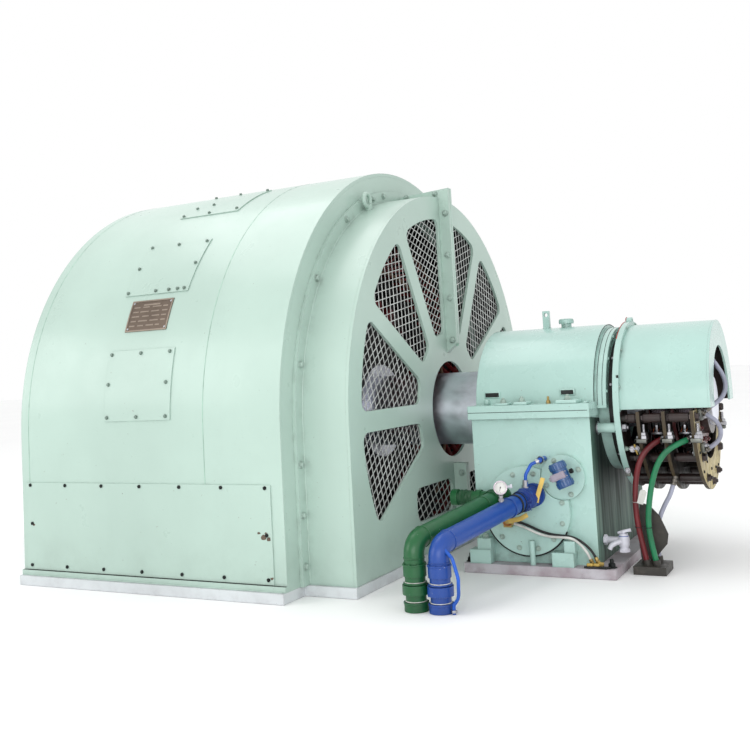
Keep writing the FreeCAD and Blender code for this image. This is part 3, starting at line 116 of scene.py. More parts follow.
def hexbolt(m, at, axis, af=0.018, high=0.011, washer=0.0, rnd=None, stud=0.0):
    """A hexagon head or nut, with its washer and the end of its stud."""
    at, w = Vector(at), Vector(axis).normalized()
    turn = rnd.uniform(0, 1.0) if rnd else 0.3
    base = 0.0
    if washer:
        disc(m, washer, 0.0, 0.0022, 20, at, axis, 0.0006)
        base = 0.0022
    r = af / math.sqrt(3)
    u, v, w = basis(axis)
    verts, faces = [], []
    rows = [(r, base), (r, base + high * 0.8), (r * 0.82, base + high)]
    for i, (rr, h) in enumerate(rows):
        for k in range(6):
            t = turn + math.pi * k / 3
            verts.append(at + w * h + (u * math.cos(t) + v * math.sin(t)) * rr)
    for i in range(2):
        for k in range(6):
            a, b = i * 6 + k, i * 6 + (k + 1) % 6
            faces.append((a, b, b + 6, a + 6))
    faces.append(tuple(range(12, 18)))
    m.add(verts, faces)
    if stud:
        disc(m, af * 0.30, base + high, base + high + stud, 10, at, axis, 0.001)
    return m


def capscrew(m, at, axis, r=0.008, high=0.006):
    """A round screw head with a crowned top and a socket."""
    prof = [(r, 0.0), (r, high * 0.55), (r * 0.86, high * 0.9), (r * 0.55, high), (r * 0.34, high), (r * 0.30, high * 0.55)]
    return lathe(m, prof, 14, at, axis)


def sweep_tube(m, pts, r, n=12, caps=True, flat=None):
    """A round tube through the points, or a flattened one with flat = (half width, half thickness, up)."""
    P = [Vector(p) for p in pts]
    T = []
    for i in range(len(P)):
        a, b = P[max(0, i - 1)], P[min(len(P) - 1, i + 1)]
        T.append((b - a).normalized())
    u = T[0].orthogonal().normalized()
    if flat:
        u = Vector(flat[2])
    verts, faces = [], []
    for i, p in enumerate(P):
        u = (u - T[i] * u.dot(T[i])).normalized()
        v = T[i].cross(u)
        for k in range(n):
            t = 2 * math.pi * k / n
            ru = flat[1] if flat else (r[i] if isinstance(r, (list, tuple)) else r)
            rv = flat[0] if flat else ru
            verts.append(p + u * (ru * math.cos(t)) + v * (rv * math.sin(t)))
    for i in range(len(P) - 1):
        for k in range(n):
            a, b = i * n + k, i * n + (k + 1) % n
            faces.append((a, b, b + n, a + n))
    if caps:
        faces.append(tuple(range(n - 1, -1, -1)))
        faces.append(tuple(range((len(P) - 1) * n, len(P) * n)))
    return m.add(verts, faces)


def rbox(m, lo, hi, bev=0.0015, seg=2, mat=None):
    """A block with rounded edges between two corners; mat turns it afterwards."""
    bm = bmesh.new()
    bmesh.ops.create_cube(bm, size=1.0)
    lo, hi = Vector(lo), Vector(hi)
    for v in bm.verts:
        v.co = Vector([lo[i] + (v.co[i] + 0.5) * (hi[i] - lo[i]) for i in range(3)])
    if bev:
        bmesh.ops.bevel(bm, geom=list(bm.edges), offset=bev, segments=seg, profile=0.5, affect="EDGES")
    if mat is not None:
        for v in bm.verts:
            v.co = mat @ v.co
    bm.verts.index_update()
    m.add([v.co.copy() for v in bm.verts], [[v.index for v in f.verts] for f in bm.faces])
    bm.free()
    return m


def slab(m, outline, thick, to, bev=0.0006):
    """A flat sheet of the outline (list of 2-D points), thick high, placed by the matrix to. Its edges are broken."""
    bm = bmesh.new()
    vs = [bm.verts.new((x, y, 0)) for x, y in outline]
    f = bm.faces.new(vs)
    res = bmesh.ops.extrude_face_region(bm, geom=[f])
    for g in res["geom"]:
        if isinstance(g, bmesh.types.BMVert):
            g.co.z += thick
    bmesh.ops.recalc_face_normals(bm, faces=list(bm.faces))
    if bev:
        edges = [e for e in bm.edges if len(e.link_faces) == 2 and abs(e.link_faces[0].normal.dot(e.link_faces[1].normal)) < 0.3]
        bmesh.ops.bevel(bm, geom=edges, offset=bev, segments=1, affect="EDGES")
    for v in bm.verts:
        v.co = to @ v.co
    bm.verts.index_update()
    m.add([v.co.copy() for v in bm.verts], [[v.index for v in f.verts] for f in bm.faces])
    bm.free()
    return m


def mirrored_x(m, x):
    """A copy of the mesh on the other side of the plane at x."""
    o = Mesh()
    o.v = [(2 * x - p[0], p[1], p[2]) for p in m.v]
    o.f = [tuple(reversed(f)) for f in m.f]
    return o


def mirrored_y(m):
    o = Mesh()
    o.v = [(p[0], -p[1], p[2]) for p in m.v]
    o.f = [tuple(reversed(f)) for f in m.f]
    return o


def merge(*ms):
    o = Mesh()
    for m in ms:
        o.add(m.v, m.f)
    return o


def piece(name, m, mat, body=FRAME, sharp=35.0, replaces=()):
    me = bpy.data.meshes.new(name)
    me.from_pydata(m.v, [], m.f)
    me.update()
    me.shade_smooth()
    me.set_sharp_from_angle(angle=math.radians(sharp))
    o = bpy.data.objects.new(name, me)
    bpy.context.scene.collection.objects.link(o)
    me.materials.append(mat)
    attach(o, body)
    if replaces:
        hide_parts(*replaces)
    return o


# ---------------------------------------------------------------- materials
def lin(c):
    return tuple(x / 12.92 if x <= 0.04045 else ((x + 0.055) / 1.055) ** 2.4 for x in c)


class Mat:
    """A material's nodes, with short names for the few kinds used here."""

    def __init__(self, name):
        self.m = bpy.data.materials.new(name)
        self.m.use_nodes = True
        t = self.m.node_tree
        t.nodes.clear()
        self.t = t
        self.out = t.nodes.new("ShaderNodeOutputMaterial")
        self.b = t.nodes.new("ShaderNodeBsdfPrincipled")
        t.links.new(self.b.outputs[0], self.out.inputs[0])
        self.co = t.nodes.new("ShaderNodeTexCoord").outputs["Object"]

    def link(self, a, b):
        self.t.links.new(a, b)

    def set(self, **kw):
        names = {"rough": "Roughness", "metal": "Metallic", "ior": "IOR", "coat": "Coat Weight", "coat_rough": "Coat Roughness", "spec": "Specular IOR Level", "sheen": "Sheen Weight", "alpha": "Alpha", "trans": "Transmission Weight", "emis": "Emission Strength"}
        for k, v in kw.items():
            self.b.inputs[names[k]].default_value = v
        return self

    def stretched(self, sx, sy, sz, co=None):
        mp = self.t.nodes.new("ShaderNodeMapping")
        mp.inputs["Scale"].default_value = (sx, sy, sz)
        self.link(co or self.co, mp.inputs["Vector"])
        return mp.outputs[0]

    def noise(self, scale, detail=4.0, rough=0.55, dist=0.0, co=None):
        n = self.t.nodes.new("ShaderNodeTexNoise")
        n.inputs["Scale"].default_value = scale
        n.inputs["Detail"].default_value = detail
        n.inputs["Roughness"].default_value = rough
        n.inputs["Distortion"].default_value = dist
        self.link(co or self.co, n.inputs["Vector"])
        return n.outputs[0]

    def voronoi(self, scale, co=None, feature="F1"):
        n = self.t.nodes.new("ShaderNodeTexVoronoi")
        n.feature = feature
        n.inputs["Scale"].default_value = scale
        self.link(co or self.co, n.inputs["Vector"])
        return n.outputs[0]

    def wave(self, scale, axis="X", dist=0.0, detail=2.0, co=None, dscale=1.0):
        n = self.t.nodes.new("ShaderNodeTexWave")
        n.bands_direction = axis
        n.inputs["Scale"].default_value = scale
        n.inputs["Distortion"].default_value = dist
        n.inputs["Detail"].default_value = detail
        n.inputs["Detail Scale"].default_value = dscale
        self.link(co or self.co, n.inputs["Vector"])
        return n.outputs[1]

    def ramp(self, src, a, b, lo=0.0, hi=1.0):
        n = self.t.nodes.new("ShaderNodeMapRange")
        n.interpolation_type = "SMOOTHSTEP"
        for k, v in zip(("From Min", "From Max", "To Min", "To Max"), (a, b, lo, hi)):
            n.inputs[k].default_value = v
        self.link(src, n.inputs["Value"])
        return n.outputs[0]

    def math(self, op, a, b):
        n = self.t.nodes.new("ShaderNodeMath")
        n.operation = op
        n.use_clamp = op != "SUBTRACT"
        for i, x in enumerate((a, b)):
            if isinstance(x, (int, float)):
                n.inputs[i].default_value = x
            else:
                self.link(x, n.inputs[i])
        return n.outputs[0]

    def mix(self, fac, a, b):
        n = self.t.nodes.new("ShaderNodeMix")
        n.data_type = "RGBA"
        for sock, x in ((n.inputs[0], fac), (n.inputs[6], a), (n.inputs[7], b)):
            if isinstance(x, (int, float)):
                sock.default_value = x
            elif isinstance(x, tuple):
                sock.default_value = (*lin(x), 1.0)
            else:
                self.link(x, sock)
        return n.outputs[2]

    def height(self):
        """Height above the floor, from the place on the object."""
        s = self.t.nodes.new("ShaderNodeSeparateXYZ")
        self.link(self.co, s.inputs[0])
        return s.outputs[2]

    def place(self, k):
        """One coordinate of the place on the object: 0 along the shaft, 1 across, 2 up."""
        s = self.t.nodes.new("ShaderNodeSeparateXYZ")
        self.link(self.co, s.inputs[0])
        return s.outputs[k]

    def crevice(self, dist):
        """1 in corners and under edges, 0 on open surfaces: ambient occlusion, used as painted shade."""
        n = self.t.nodes.new("ShaderNodeAmbientOcclusion")
        n.samples = 4
        n.inputs["Distance"].default_value = dist
        return self.ramp(n.outputs["AO"], 0.35, 0.95, 1.0, 0.0)

    def rim(self, radius):
        """The rounded-edge normal, and a mask of the edges."""
        bev = self.t.nodes.new("ShaderNodeBevel")
        bev.samples = 4
        bev.inputs["Radius"].default_value = radius
        g = self.t.nodes.new("ShaderNodeNewGeometry")
        d = self.t.nodes.new("ShaderNodeVectorMath")
        d.operation = "DOT_PRODUCT"
        self.link(bev.outputs[0], d.inputs[0])
        self.link(g.outputs["Normal"], d.inputs[1])
        return bev.outputs[0], self.ramp(d.outputs["Value"], 0.80, 0.995, 1.0, 0.0)

    def bump(self, src, dist, strength=1.0, normal=None):
        n = self.t.nodes.new("ShaderNodeBump")
        n.inputs["Distance"].default_value = dist
        n.inputs["Strength"].default_value = strength
        self.link(src, n.inputs["Height"])
        if normal is not None:
            self.link(normal, n.inputs["Normal"])
        return n.outputs[0]

    def color(self, x):
        if isinstance(x, tuple):
            self.b.inputs["Base Color"].default_value = (*lin(x), 1.0)
        else:
            self.link(x, self.b.inputs["Base Color"])

    def rough(self, x):
        self.link(x, self.b.inputs["Roughness"])

    def normal(self, x):
        self.link(x, self.b.inputs["Normal"])


def paint(name, c, rough=(0.26, 0.42), wave=0.003, wave_scale=2.2, corner_dirt_and_shade=0.35, foot=0.35, edge=0.35, radius=0.003, chips=0.10, dirt_and_shade_c=(0.30, 0.33, 0.29), primer=(0.45, 0.42, 0.40), coat=0.25, orange=0.00025, blot=1.0):
    """Painted sheet or casting: soft waves, orange peel, dust at the foot, corners darkened by grime and by painted
    shade, worn edges, small chips.
    """
    p = Mat(name)
    light = tuple(min(1, x * 1.03 + 0.01) for x in c)
    dark = tuple(x * (1 - 0.045 * blot) for x in c)
    base = p.mix(p.ramp(p.noise(1.1, 3.0), 0.3, 0.7), dark, light)
    base = p.mix(p.math("MULTIPLY", p.ramp(p.noise(9.0, 5.0), 0.45, 0.75), 0.16 * blot), base, tuple(x * 0.90 for x in c))
    runs = p.noise(7.0, 4.0, co=p.stretched(1.0, 1.0, 0.12))
    base = p.mix(p.math("MULTIPLY", p.ramp(runs, 0.52, 0.75), 0.10 * blot), base, tuple(x * 0.82 for x in c))
    bn, em = p.rim(radius)
    grime = p.ramp(p.noise(16.0, 8.0, 0.65), 0.42, 0.68)
    # painted shade: corners and undersides darkened by ambient occlusion, patchy with grime
    corner_shade = p.crevice(0.06)
    base = p.mix(p.math("MULTIPLY", p.math("MULTIPLY", corner_shade, grime), corner_dirt_and_shade), base, dirt_and_shade_c)
    low = p.ramp(p.height(), 0.02, 0.30, 1.0, 0.0)
    base = p.mix(p.math("MULTIPLY", p.math("MULTIPLY", low, p.ramp(p.noise(5.0, 8.0, 0.6), 0.35, 0.75)), foot), base, tuple(0.6 * a + 0.4 * b for a, b in zip(c, dirt_and_shade_c)))
    worn = p.math("MULTIPLY", em, p.ramp(p.noise(55.0, 6.0, 0.7), 0.50, 0.66))
    base = p.mix(p.math("MULTIPLY", worn, edge), base, primer)
    spots = p.ramp(p.noise(95.0, 3.0, 0.5), 0.735, 0.76)
    base = p.mix(p.math("MULTIPLY", spots, chips * 6), base, primer)
    p.color(base)
    p.rough(p.math("ADD", p.ramp(p.noise(6.0, 6.0, 0.6), 0.25, 0.75, rough[0], rough[1]), p.math("MULTIPLY", corner_shade, 0.2)))
    n1 = p.bump(p.noise(wave_scale, 1.5, 0.4), wave, 1.0, bn)
    n2 = p.bump(p.noise(330.0, 2.0), orange, 0.6, n1)
    p.normal(n2)
    p.set(coat=coat, coat_rough=0.16, spec=0.5)
    return p.m


MINT = (0.660, 0.750, 0.708)
MINT2 = (0.650, 0.780, 0.748)


def steel(name, c, rough=(0.22, 0.38), axis="X", scale=160.0, grime=0.25, grime_c=(0.10, 0.09, 0.08), radius=0.0015, turned=0.00006):
    """Turned or machined steel: fine lines round the axis, oily smears."""
    p = Mat(name)
    base = p.mix(p.ramp(p.noise(7.0, 5.0), 0.3, 0.7), tuple(x * 0.88 for x in c), c)
    smear = p.ramp(p.noise(5.0, 7.0, 0.65, 0.6), 0.48, 0.72)
    base = p.mix(p.math("MULTIPLY", smear, grime), base, grime_c)
    p.color(base)
    lines = p.wave(scale, axis, 2.5, 3.0)
    r = p.ramp(p.noise(11.0, 6.0, 0.6), 0.3, 0.7, rough[0], rough[1])
    p.rough(p.math("ADD", r, p.math("MULTIPLY", smear, 0.15)))
    bn, _ = p.rim(radius)
    p.normal(p.bump(lines, turned, 0.5, bn))
    p.set(metal=1.0)
    return p.m


def rubber(name, c, rough=(0.42, 0.60), coat=0.0, dust=0.35, dust_c=(0.42, 0.40, 0.38), metal=0.0, fine=600.0, radius=0.001, bump=0.00015):
    """Cable sheath, moulded plastic, felt and the like, with dust in blotches."""
    p = Mat(name)
    base = p.mix(p.ramp(p.noise(12.0, 4.0), 0.3, 0.7), tuple(x * 0.86 for x in c), tuple(min(1, x * 1.06) for x in c))
    d = p.ramp(p.noise(28.0, 7.0, 0.65), 0.50, 0.75)
    base = p.mix(p.math("MULTIPLY", d, dust), base, dust_c)
    p.color(base)
    p.rough(p.math("ADD", p.ramp(p.noise(35.0, 5.0), 0.3, 0.7, rough[0], rough[1]), p.math("MULTIPLY", d, 0.12)))
    bn, _ = p.rim(radius)
    p.normal(p.bump(p.noise(fine, 2.0), bump, 0.6, bn))
    p.set(coat=coat, coat_rough=0.2, metal=metal)
    return p.m


M = {}
M["housing"] = paint("housing_paint", MINT, blot=0.55, corner_dirt_and_shade=0.30, foot=0.30)
M["panel"] = paint("panel_paint", tuple(x * 0.995 for x in MINT), chips=0.12, edge=0.5, wave=0.0010, radius=0.0012, blot=0.5)
M["bearing"] = paint("bearing_paint", MINT2, rough=(0.20, 0.36), wave=0.0010, wave_scale=5.0, coat=0.4, corner_dirt_and_shade=0.45, foot=0.45, edge=0.40, blot=0.8)
M["sole"] = paint("sole_steel", (0.80, 0.82, 0.83), rough=(0.5, 0.75), wave=0.0006, wave_scale=9.0, corner_dirt_and_shade=0.4, foot=0.35, edge=0.6, dirt_and_shade_c=(0.50, 0.48, 0.50), coat=0.0, orange=0.0006)
M["ped_sole"] = paint("pedestal_sole_steel", (0.71, 0.70, 0.72), rough=(0.5, 0.75), wave=0.0008, wave_scale=9.0, corner_dirt_and_shade=0.7, foot=1.0, edge=0.6, dirt_and_shade_c=(0.36, 0.20, 0.24), coat=0.0, orange=0.0006)
M["mesh"] = rubber("screen_mesh", (0.80, 0.81, 0.80), rough=(0.42, 0.6), metal=0.25, dust=0.3, dust_c=(0.45, 0.44, 0.43))
M["core"] = rubber("core_steel", (0.085, 0.085, 0.09), rough=(0.55, 0.8), dust=0.3, dust_c=(0.16, 0.14, 0.12))
M["red_winding"] = rubber("winding_red", (0.44, 0.085, 0.085), rough=(0.30, 0.5), dust=0.35, dust_c=(0.20, 0.10, 0.08), coat=0.3)
M["shaft"] = steel("shaft_steel", (0.95, 0.96, 1.0), rough=(0.28, 0.44), grime=0.20, grime_c=(0.12, 0.11, 0.11))
# the rotor seen through the windows: near black and without metal shine, painted shade of the closed interior
M["rotor"] = rubber("rotor_steel", (0.075, 0.060, 0.065), rough=(0.55, 0.8), dust=0.3, dust_c=(0.15, 0.12, 0.11))
M["seal"] = rubber("seal_black", (0.055, 0.06, 0.06), rough=(0.5, 0.75), dust=0.4, dust_c=(0.16, 0.17, 0.16))
M["blue"] = paint("pipe_blue", (0.004, 0.235, 0.560), rough=(0.28, 0.42), wave=0.0012, wave_scale=22.0, coat=0.15, corner_dirt_and_shade=0.5, foot=0.4, edge=0.5, radius=0.0025, dirt_and_shade_c=(0.03, 0.07, 0.15), primer=(0.62, 0.64, 0.68), chips=0.18)
M["green"] = paint("pipe_green", (0.004, 0.330, 0.150), rough=(0.28, 0.44), wave=0.0012, wave_scale=22.0, coat=0.15, corner_dirt_and_shade=0.5, foot=0.4, edge=0.5, radius=0.0025, dirt_and_shade_c=(0.04, 0.10, 0.07), primer=(0.55, 0.62, 0.58), chips=0.18)
M["bolt_dark"] = steel("bolt_steel_dark", (0.20, 0.21, 0.21), rough=(0.35, 0.55), grime=0.5, scale=400.0)
M["bolt_bright"] = steel("bolt_zinc", (0.72, 0.72, 0.74), rough=(0.25, 0.42), grime=0.25, scale=400.0)
M["bolt_mint"] = paint("bolt_painted", tuple(x * 0.93 for x in MINT), rough=(0.28, 0.4), wave=0.0002, radius=0.0008, edge=0.8, corner_dirt_and_shade=0.8)
M["board"] = rubber("epoxy_board", (0.70, 0.62, 0.38), rough=(0.35, 0.55), dust=0.45, dust_c=(0.20, 0.16, 0.12), coat=0.2)
M["holder"] = steel("holder_metal", (0.52, 0.50, 0.47), rough=(0.3, 0.5), grime=0.55, scale=300.0)
M["slip"] = steel("slip_steel", (0.36, 0.33, 0.35), rough=(0.16, 0.30), grime=0.35, scale=500.0)
M["hub"] = rubber("hub_dark", (0.16, 0.07, 0.065), rough=(0.3, 0.5), coat=0.3)
M["c_red"] = rubber("cable_red", (0.40, 0.060, 0.090), rough=(0.35, 0.5), dust=0.22, dust_c=(0.28, 0.16, 0.16))
M["c_green"] = rubber("cable_green", (0.07, 0.44, 0.28), rough=(0.33, 0.48), dust=0.2, dust_c=(0.2, 0.3, 0.26))
M["c_grey"] = rubber("cable_grey", (0.60, 0.61, 0.68), rough=(0.4, 0.55), dust=0.25)
M["black"] = rubber("lead_black", (0.035, 0.035, 0.04), rough=(0.35, 0.55), dust=0.2)
M["white"] = rubber("lead_white", (0.80, 0.80, 0.78), rough=(0.4, 0.55), dust=0.3, dust_c=(0.5, 0.47, 0.42))
M["brass"] = steel("gland_metal", (0.72, 0.62, 0.40), rough=(0.25, 0.42), grime=0.35, scale=300.0)
M["inst_blue"] = paint("instrument_blue", (0.12, 0.28, 0.48), rough=(0.18, 0.32), wave=0.0003, wave_scale=30.0, coat=0.5, radius=0.0015, edge=0.5, primer=(0.5, 0.55, 0.6))
M["inst_grey"] = rubber("instrument_band", (0.68, 0.64, 0.70), rough=(0.35, 0.5), dust=0.15)
M["gauge"] = steel("gauge_steel", (0.78, 0.73, 0.77), rough=(0.2, 0.35), grime=0.2, scale=300.0)
M["dial"] = rubber("dial_white", (0.90, 0.90, 0.88), rough=(0.3, 0.4), dust=0.05)
M["valve"] = rubber("valve_white", (0.84, 0.84, 0.88), rough=(0.3, 0.45), dust=0.35, dust_c=(0.55, 0.52, 0.55), coat=0.2)
M["valve_blue"] = rubber("valve_ring_blue", (0.20, 0.32, 0.62), rough=(0.3, 0.4), dust=0.2)
M["plate_metal"] = steel("nameplate_metal", (0.46, 0.41, 0.37), rough=(0.38, 0.55), axis="Z", scale=260.0, grime=0.35, grime_c=(0.22, 0.16, 0.12))
M["guide"] = rubber("guide_sheet", (0.20, 0.19, 0.17), rough=(0.4, 0.6), dust=0.5, dust_c=(0.34, 0.31, 0.28))
M["orange"] = rubber("gasket_orange", (0.62, 0.36, 0.16), rough=(0.5, 0.7), dust=0.3)
M["yellow"] = rubber("tape_yellow", (0.74, 0.62, 0.30), rough=(0.45, 0.6), dust=0.4, dust_c=(0.4, 0.33, 0.2))

SLOT_MAT = {
    "housing_paint": "housing", "panel_paint": "panel", "bearing_paint": "bearing", "sole_steel": "sole", "pedestal_sole_steel": "ped_sole", "screen_mesh": "mesh",
    "nameplate_metal": "plate_metal", "core_steel": "core", "winding_red": "red_winding", "shaft_steel": "shaft", "rotor_steel": "rotor", "seal_black": "seal",
    "pipe_blue": "blue", "pipe_green": "green", "instrument_blue": "inst_blue", "gauge_steel": "gauge", "valve_white": "valve", "epoxy_board": "board",
    "holder_metal": "holder", "slip_steel": "slip", "hub_dark": "hub", "cable_red": "c_red", "cable_green": "c_green", "cable_grey": "c_grey",
    "lead_black": "black", "lead_white": "white", "gland_metal": "brass",
}
for sub in frame["record"]["subparts"]:
    o = N[sub["node"]]
    o.data.materials.clear()
    o.data.materials.append(M[SLOT_MAT[sub["material_slot"]]])
M["hose"] = rubber("hose_blue", (0.035, 0.32, 0.72), rough=(0.24, 0.40), dust=0.22, dust_c=(0.10, 0.16, 0.26))
N["pipe_hoses"].data.materials[0] = M["hose"]

# ---------------------------------------------------------------- camera, light, floor
a, e, roll = math.radians(27.3147), math.radians(3.9795), math.radians(-3.073)
fwd = Vector((-math.sin(a) * math.cos(e), math.cos(a) * math.cos(e), math.sin(e)))
right0 = Vector((math.cos(a), math.sin(a), 0))
up0 = right0.cross(fwd)
right = right0 * math.cos(roll) + up0 * math.sin(roll)
up = -right0 * math.sin(roll) + up0 * math.cos(roll)
cam_data = bpy.data.cameras.new("camera")
cam = bpy.data.objects.new("camera", cam_data)
bpy.context.scene.collection.objects.link(cam)
rot = Matrix((right, up, -fwd)).transposed().to_4x4()
cam.matrix_world = Matrix.Translation((2.1799, -3.7551, 0.7737)) @ rot
cam_data.sensor_width = 36.0
cam_data.lens = 955.01 * 36.0 / 750.0
cam_data.shift_x = 0.0
cam_data.shift_y = -0.1
cam_data.clip_end = 200.0
bpy.context.scene.camera = cam

sc = bpy.context.scene
sc.view_settings.view_transform = "Standard"
sc.view_settings.look = "None"
sc.view_settings.exposure = 0.0

world = bpy.data.worlds.new("studio")
sc.world = world
world.use_nodes = True
world.node_tree.nodes["Background"].inputs[0].default_value = (1.0, 1.0, 1.0, 1.0)
world.node_tree.nodes["Background"].inputs[1].default_value = 1.0


def area(name, at, to, size, power, color=(1, 1, 1)):
    d = bpy.data.lights.new(name, "AREA")
    d.shape = "RECTANGLE"
    d.size, d.size_y = size
    d.energy = power
    d.color = color
    o = bpy.data.objects.new(name, d)
    sc.collection.objects.link(o)
    at, to = Vector(at), Vector(to)
    o.matrix_world = Matrix.Translation(at) @ (to - at).to_track_quat("-Z", "Y").to_matrix().to_4x4()
    return o


area("roof_light", (-1.6, -0.2, 5.2), (-0.5, 0.0, 0.6), (4.0, 3.0), 74.0)
area("window_left", (-4.2, -4.6, 2.6), (-0.6, -0.4, 0.8), (3.0, 2.6), 55.0)
area("front_fill", (2.6, -6.0, 1.7), (0.6, 0.0, 0.5), (4.0, 2.6), 88.0)
area("fill_right", (5.0, -2.6, 2.2), (0.9, 0.0, 0.6), (2.4, 2.2), 10.0, (0.97, 0.99, 1.0))

fm = Mesh()
fm.add([(-40, -40, 0), (40, -40, 0), (40, 40, 0), (-40, 40, 0)], [(0, 1, 2, 3)])
fme = bpy.data.meshes.new("floor")
fme.from_pydata([(x, y, z - 0.001) for x, y, z in fm.v], [], fm.f)
floor = bpy.data.objects.new("floor", fme)
sc.collection.objects.link(floor)
fp = Mat("floor_pale")
fp.color(fp.mix(fp.ramp(fp.noise(0.6, 4.0), 0.3, 0.7), (0.975, 0.977, 0.977), (0.985, 0.986, 0.985)))
fp.rough(fp.ramp(fp.noise(3.0, 4.0), 0.3, 0.7, 0.55, 0.7))
fme.materials.append(fp.m)

# ---------------------------------------------------------------- cables: the same route points as the tubes
def cable(name, node, route, dia, mat):
    cu = bpy.data.curves.new(name, "CURVE")
    cu.dimensions = "3D"
    sp = cu.splines.new("NURBS")
    sp.points.add(len(route) - 1)
    for k, (x, y, z) in enumerate(route):
        sp.points[k].co = (PX + x / 1000, y / 1000, H + z / 1000, 1.0)
    sp.order_u = 3
    sp.use_endpoint_u = True
    sp.resolution_u = 8
    cu.bevel_depth = dia / 2
    cu.bevel_resolution = 5
    cu.use_fill_caps = True
    o = bpy.data.objects.new(name, cu)
    sc.collection.objects.link(o)
    cu.materials.append(mat)
    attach(o, FRAME)
    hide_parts(node)
    x, y, z = route[0]
    return o


RED = [(906, -267, -119), (874, -288, -134), (838, -306, -182), (819, -308, -250), (812, -309, -325), (813, -306, -400), (823, -302, -468), (835, -300, -534)]
GRN = [(998, -275, -120), (955, -306, -136), (908, -318, -180), (880, -319, -250), (862, -314, -325), (852, -311, -400), (856, -307, -468), (868, -303, -534)]
GRY = [(926, -203, -287), (918, -212, -317), (897, -222, -352), (876, -228, -397), (865, -231, -446), (862, -232, -495), (866, -233, -534)]
LOOP1 = [(1062, -95, 196), (1072, -97, 164), (1091, -102, 134), (1112, -108, 98), (1122, -116, 58), (1111, -134, 22), (1090, -164, 0), (1070, -194, -14)]
LOOP2 = [(1062, -236, -34), (1088, -232, -50), (1106, -227, -80), (1105, -220, -112), (1088, -213, -138), (1064, -208, -152)]
LEAD1 = [(396, -414, -391), (440, -414, -404), (484, -413, -424), (526, -412, -437), (568, -412, -440), (608, -411, -443), (645, -410, -463), (677, -409, -495), (690, -408, -526)]
LEAD2 = [(396, -422, -400), (438, -424, -413), (481, -425, -432), (524, -425, -443), (567, -424, -444), (610, -424, -445), (641, -421, -471), (662, -416, -502), (671, -410, -532)]
cable("grey_cable", "cable_grey", GRY, 0.016, M["c_grey"])
cable("brush_lead_1", "brush_lead_upper", LOOP1, 0.016, M["c_grey"])
cable("brush_lead_2", "brush_lead_lower", LOOP2, 0.016, M["c_grey"])
cable("sensor_lead_1", "sensor_lead_black", LEAD1, 0.009, M["black"])
cable("sensor_lead_2", "sensor_lead_white", LEAD2, 0.009, M["white"])

# ---------------------------------------------------------------- bolts and screws on the housing
rnd = random.Random(7)


def on_shell(x, ang, r):
    t = math.radians(ang)
    return Vector((x, -r * math.cos(t), H + r * math.sin(t))), Vector((0, -math.cos(t), math.sin(t)))


dark = Mesh()
for k in range(7):
    x = PX - 1.3731 + k * 0.1841
    for z in (-0.198, -0.5055):
        hexbolt(dark, (x, -RS - 0.0005, H + z), (0, -1, 0), 0.012, 0.006, 0.0095, rnd)
for x, z in ((-1.367, -0.346), (-0.268, -0.357)):
    hexbolt(dark, (PX + x, -RS - 0.0005, H + z), (0, -1, 0), 0.012, 0.006, 0.0095, rnd)
# the inside of the machine: unpainted metal, dark as painted shade
M["inside"] = rubber("inside_painted_shade", (0.060, 0.062, 0.062), rough=(0.6, 0.85), dust=0.35, dust_c=(0.10, 0.095, 0.09))
M["rust"] = rubber("bare_patch", (0.36, 0.30, 0.25), rough=(0.6, 0.8), dust=0.5, dust_c=(0.5, 0.46, 0.4))
M["seam"] = rubber("seam_filler", (0.60, 0.74, 0.67), rough=(0.5, 0.7), dust=0.5, dust_c=(0.42, 0.48, 0.43))


def shade_inside_faces(node, test):
    """The faces that look into the machine: unpainted and sooty, and darkened as painted shade for the closed interior.
    """
    me = N[node].data
    me.materials.append(M["inside"])
    for p in me.polygons:
        if test(p.center, p.normal):
            p.material_index = 1


def towards_axis(c, n):
    return n.y * (c.y) + n.z * (c.z - H) < -0.2 * math.hypot(c.y, c.z - H)


for nm in ("end_bell_ring_side", "end_bell_drive_side", "housing_shell"):
    shade_inside_faces(nm, lambda c, n: towards_axis(c, n) and c.z > SOLE + 0.002)
shade_inside_faces("end_plate_ring_side", lambda c, n: n.x < -0.9)
shade_inside_faces("end_plate_drive_side", lambda c, n: n.x > 0.9)
shade_inside_faces("end_walls", lambda c, n: (n.x < -0.9) == (c.x > MID) and abs(n.x) > 0.9)

panel_scr = Mesh()
# panel screws: (place along the shaft from the end plate's face, degrees above the level of the axis)
for x, ang in [(-0.966, 44.6), (-0.829, 44.6), (-0.690, 44.6), (-0.968, 37.8), (-0.689, 37.8), (-0.969, 31.0), (-0.832, 31.0), (-0.768, 31.0), (-0.726, 31.0), (-0.694, 31.0),
               (-0.967, 16.4), (-0.825, 16.4), (-0.688, 16.4), (-0.967, 10.0), (-0.691, 10.0), (-0.967, 3.1), (-0.825, 3.1), (-0.688, 3.1),
               (-0.946, 57.8), (-0.814, 57.9), (-0.678, 58.3), (-0.922, 62.0), (-0.853, 63.5), (-0.946, 72.2), (-0.814, 72.2), (-0.672, 72.2)]:
    for side in (1, -1):
        p, n = on_shell(PX + x, ang if side > 0 else 180 - ang, RS + 0.0040)
        hexbolt(panel_scr, p, n, 0.010, 0.0050, 0.0072, rnd)
# the far side's lower panel has the same rows
far = Mesh()
for k in range(7):
    x = PX - 1.3731 + k * 0.1841
    for z in (-0.198, -0.5055):
        hexbolt(far, (x, RS + 0.0005, H + z), (0, 1, 0), 0.012, 0.006, 0.0095, rnd)
for x, z in ((-1.367, -0.346), (-0.268, -0.357)):
    hexbolt(far, (PX + x, RS + 0.0005, H + z), (0, 1, 0), 0.012, 0.006, 0.0095, rnd)
piece("housing_panel_screws", merge(dark, far), M["bolt_dark"])
M["bolt_grey"] = paint("bolt_grey_paint", (0.42, 0.50, 0.46), rough=(0.35, 0.5), wave=0.0002, radius=0.0008, edge=0.9, corner_dirt_and_shade=0.8)
piece("access_panel_screws", panel_scr, M["bolt_grey"])

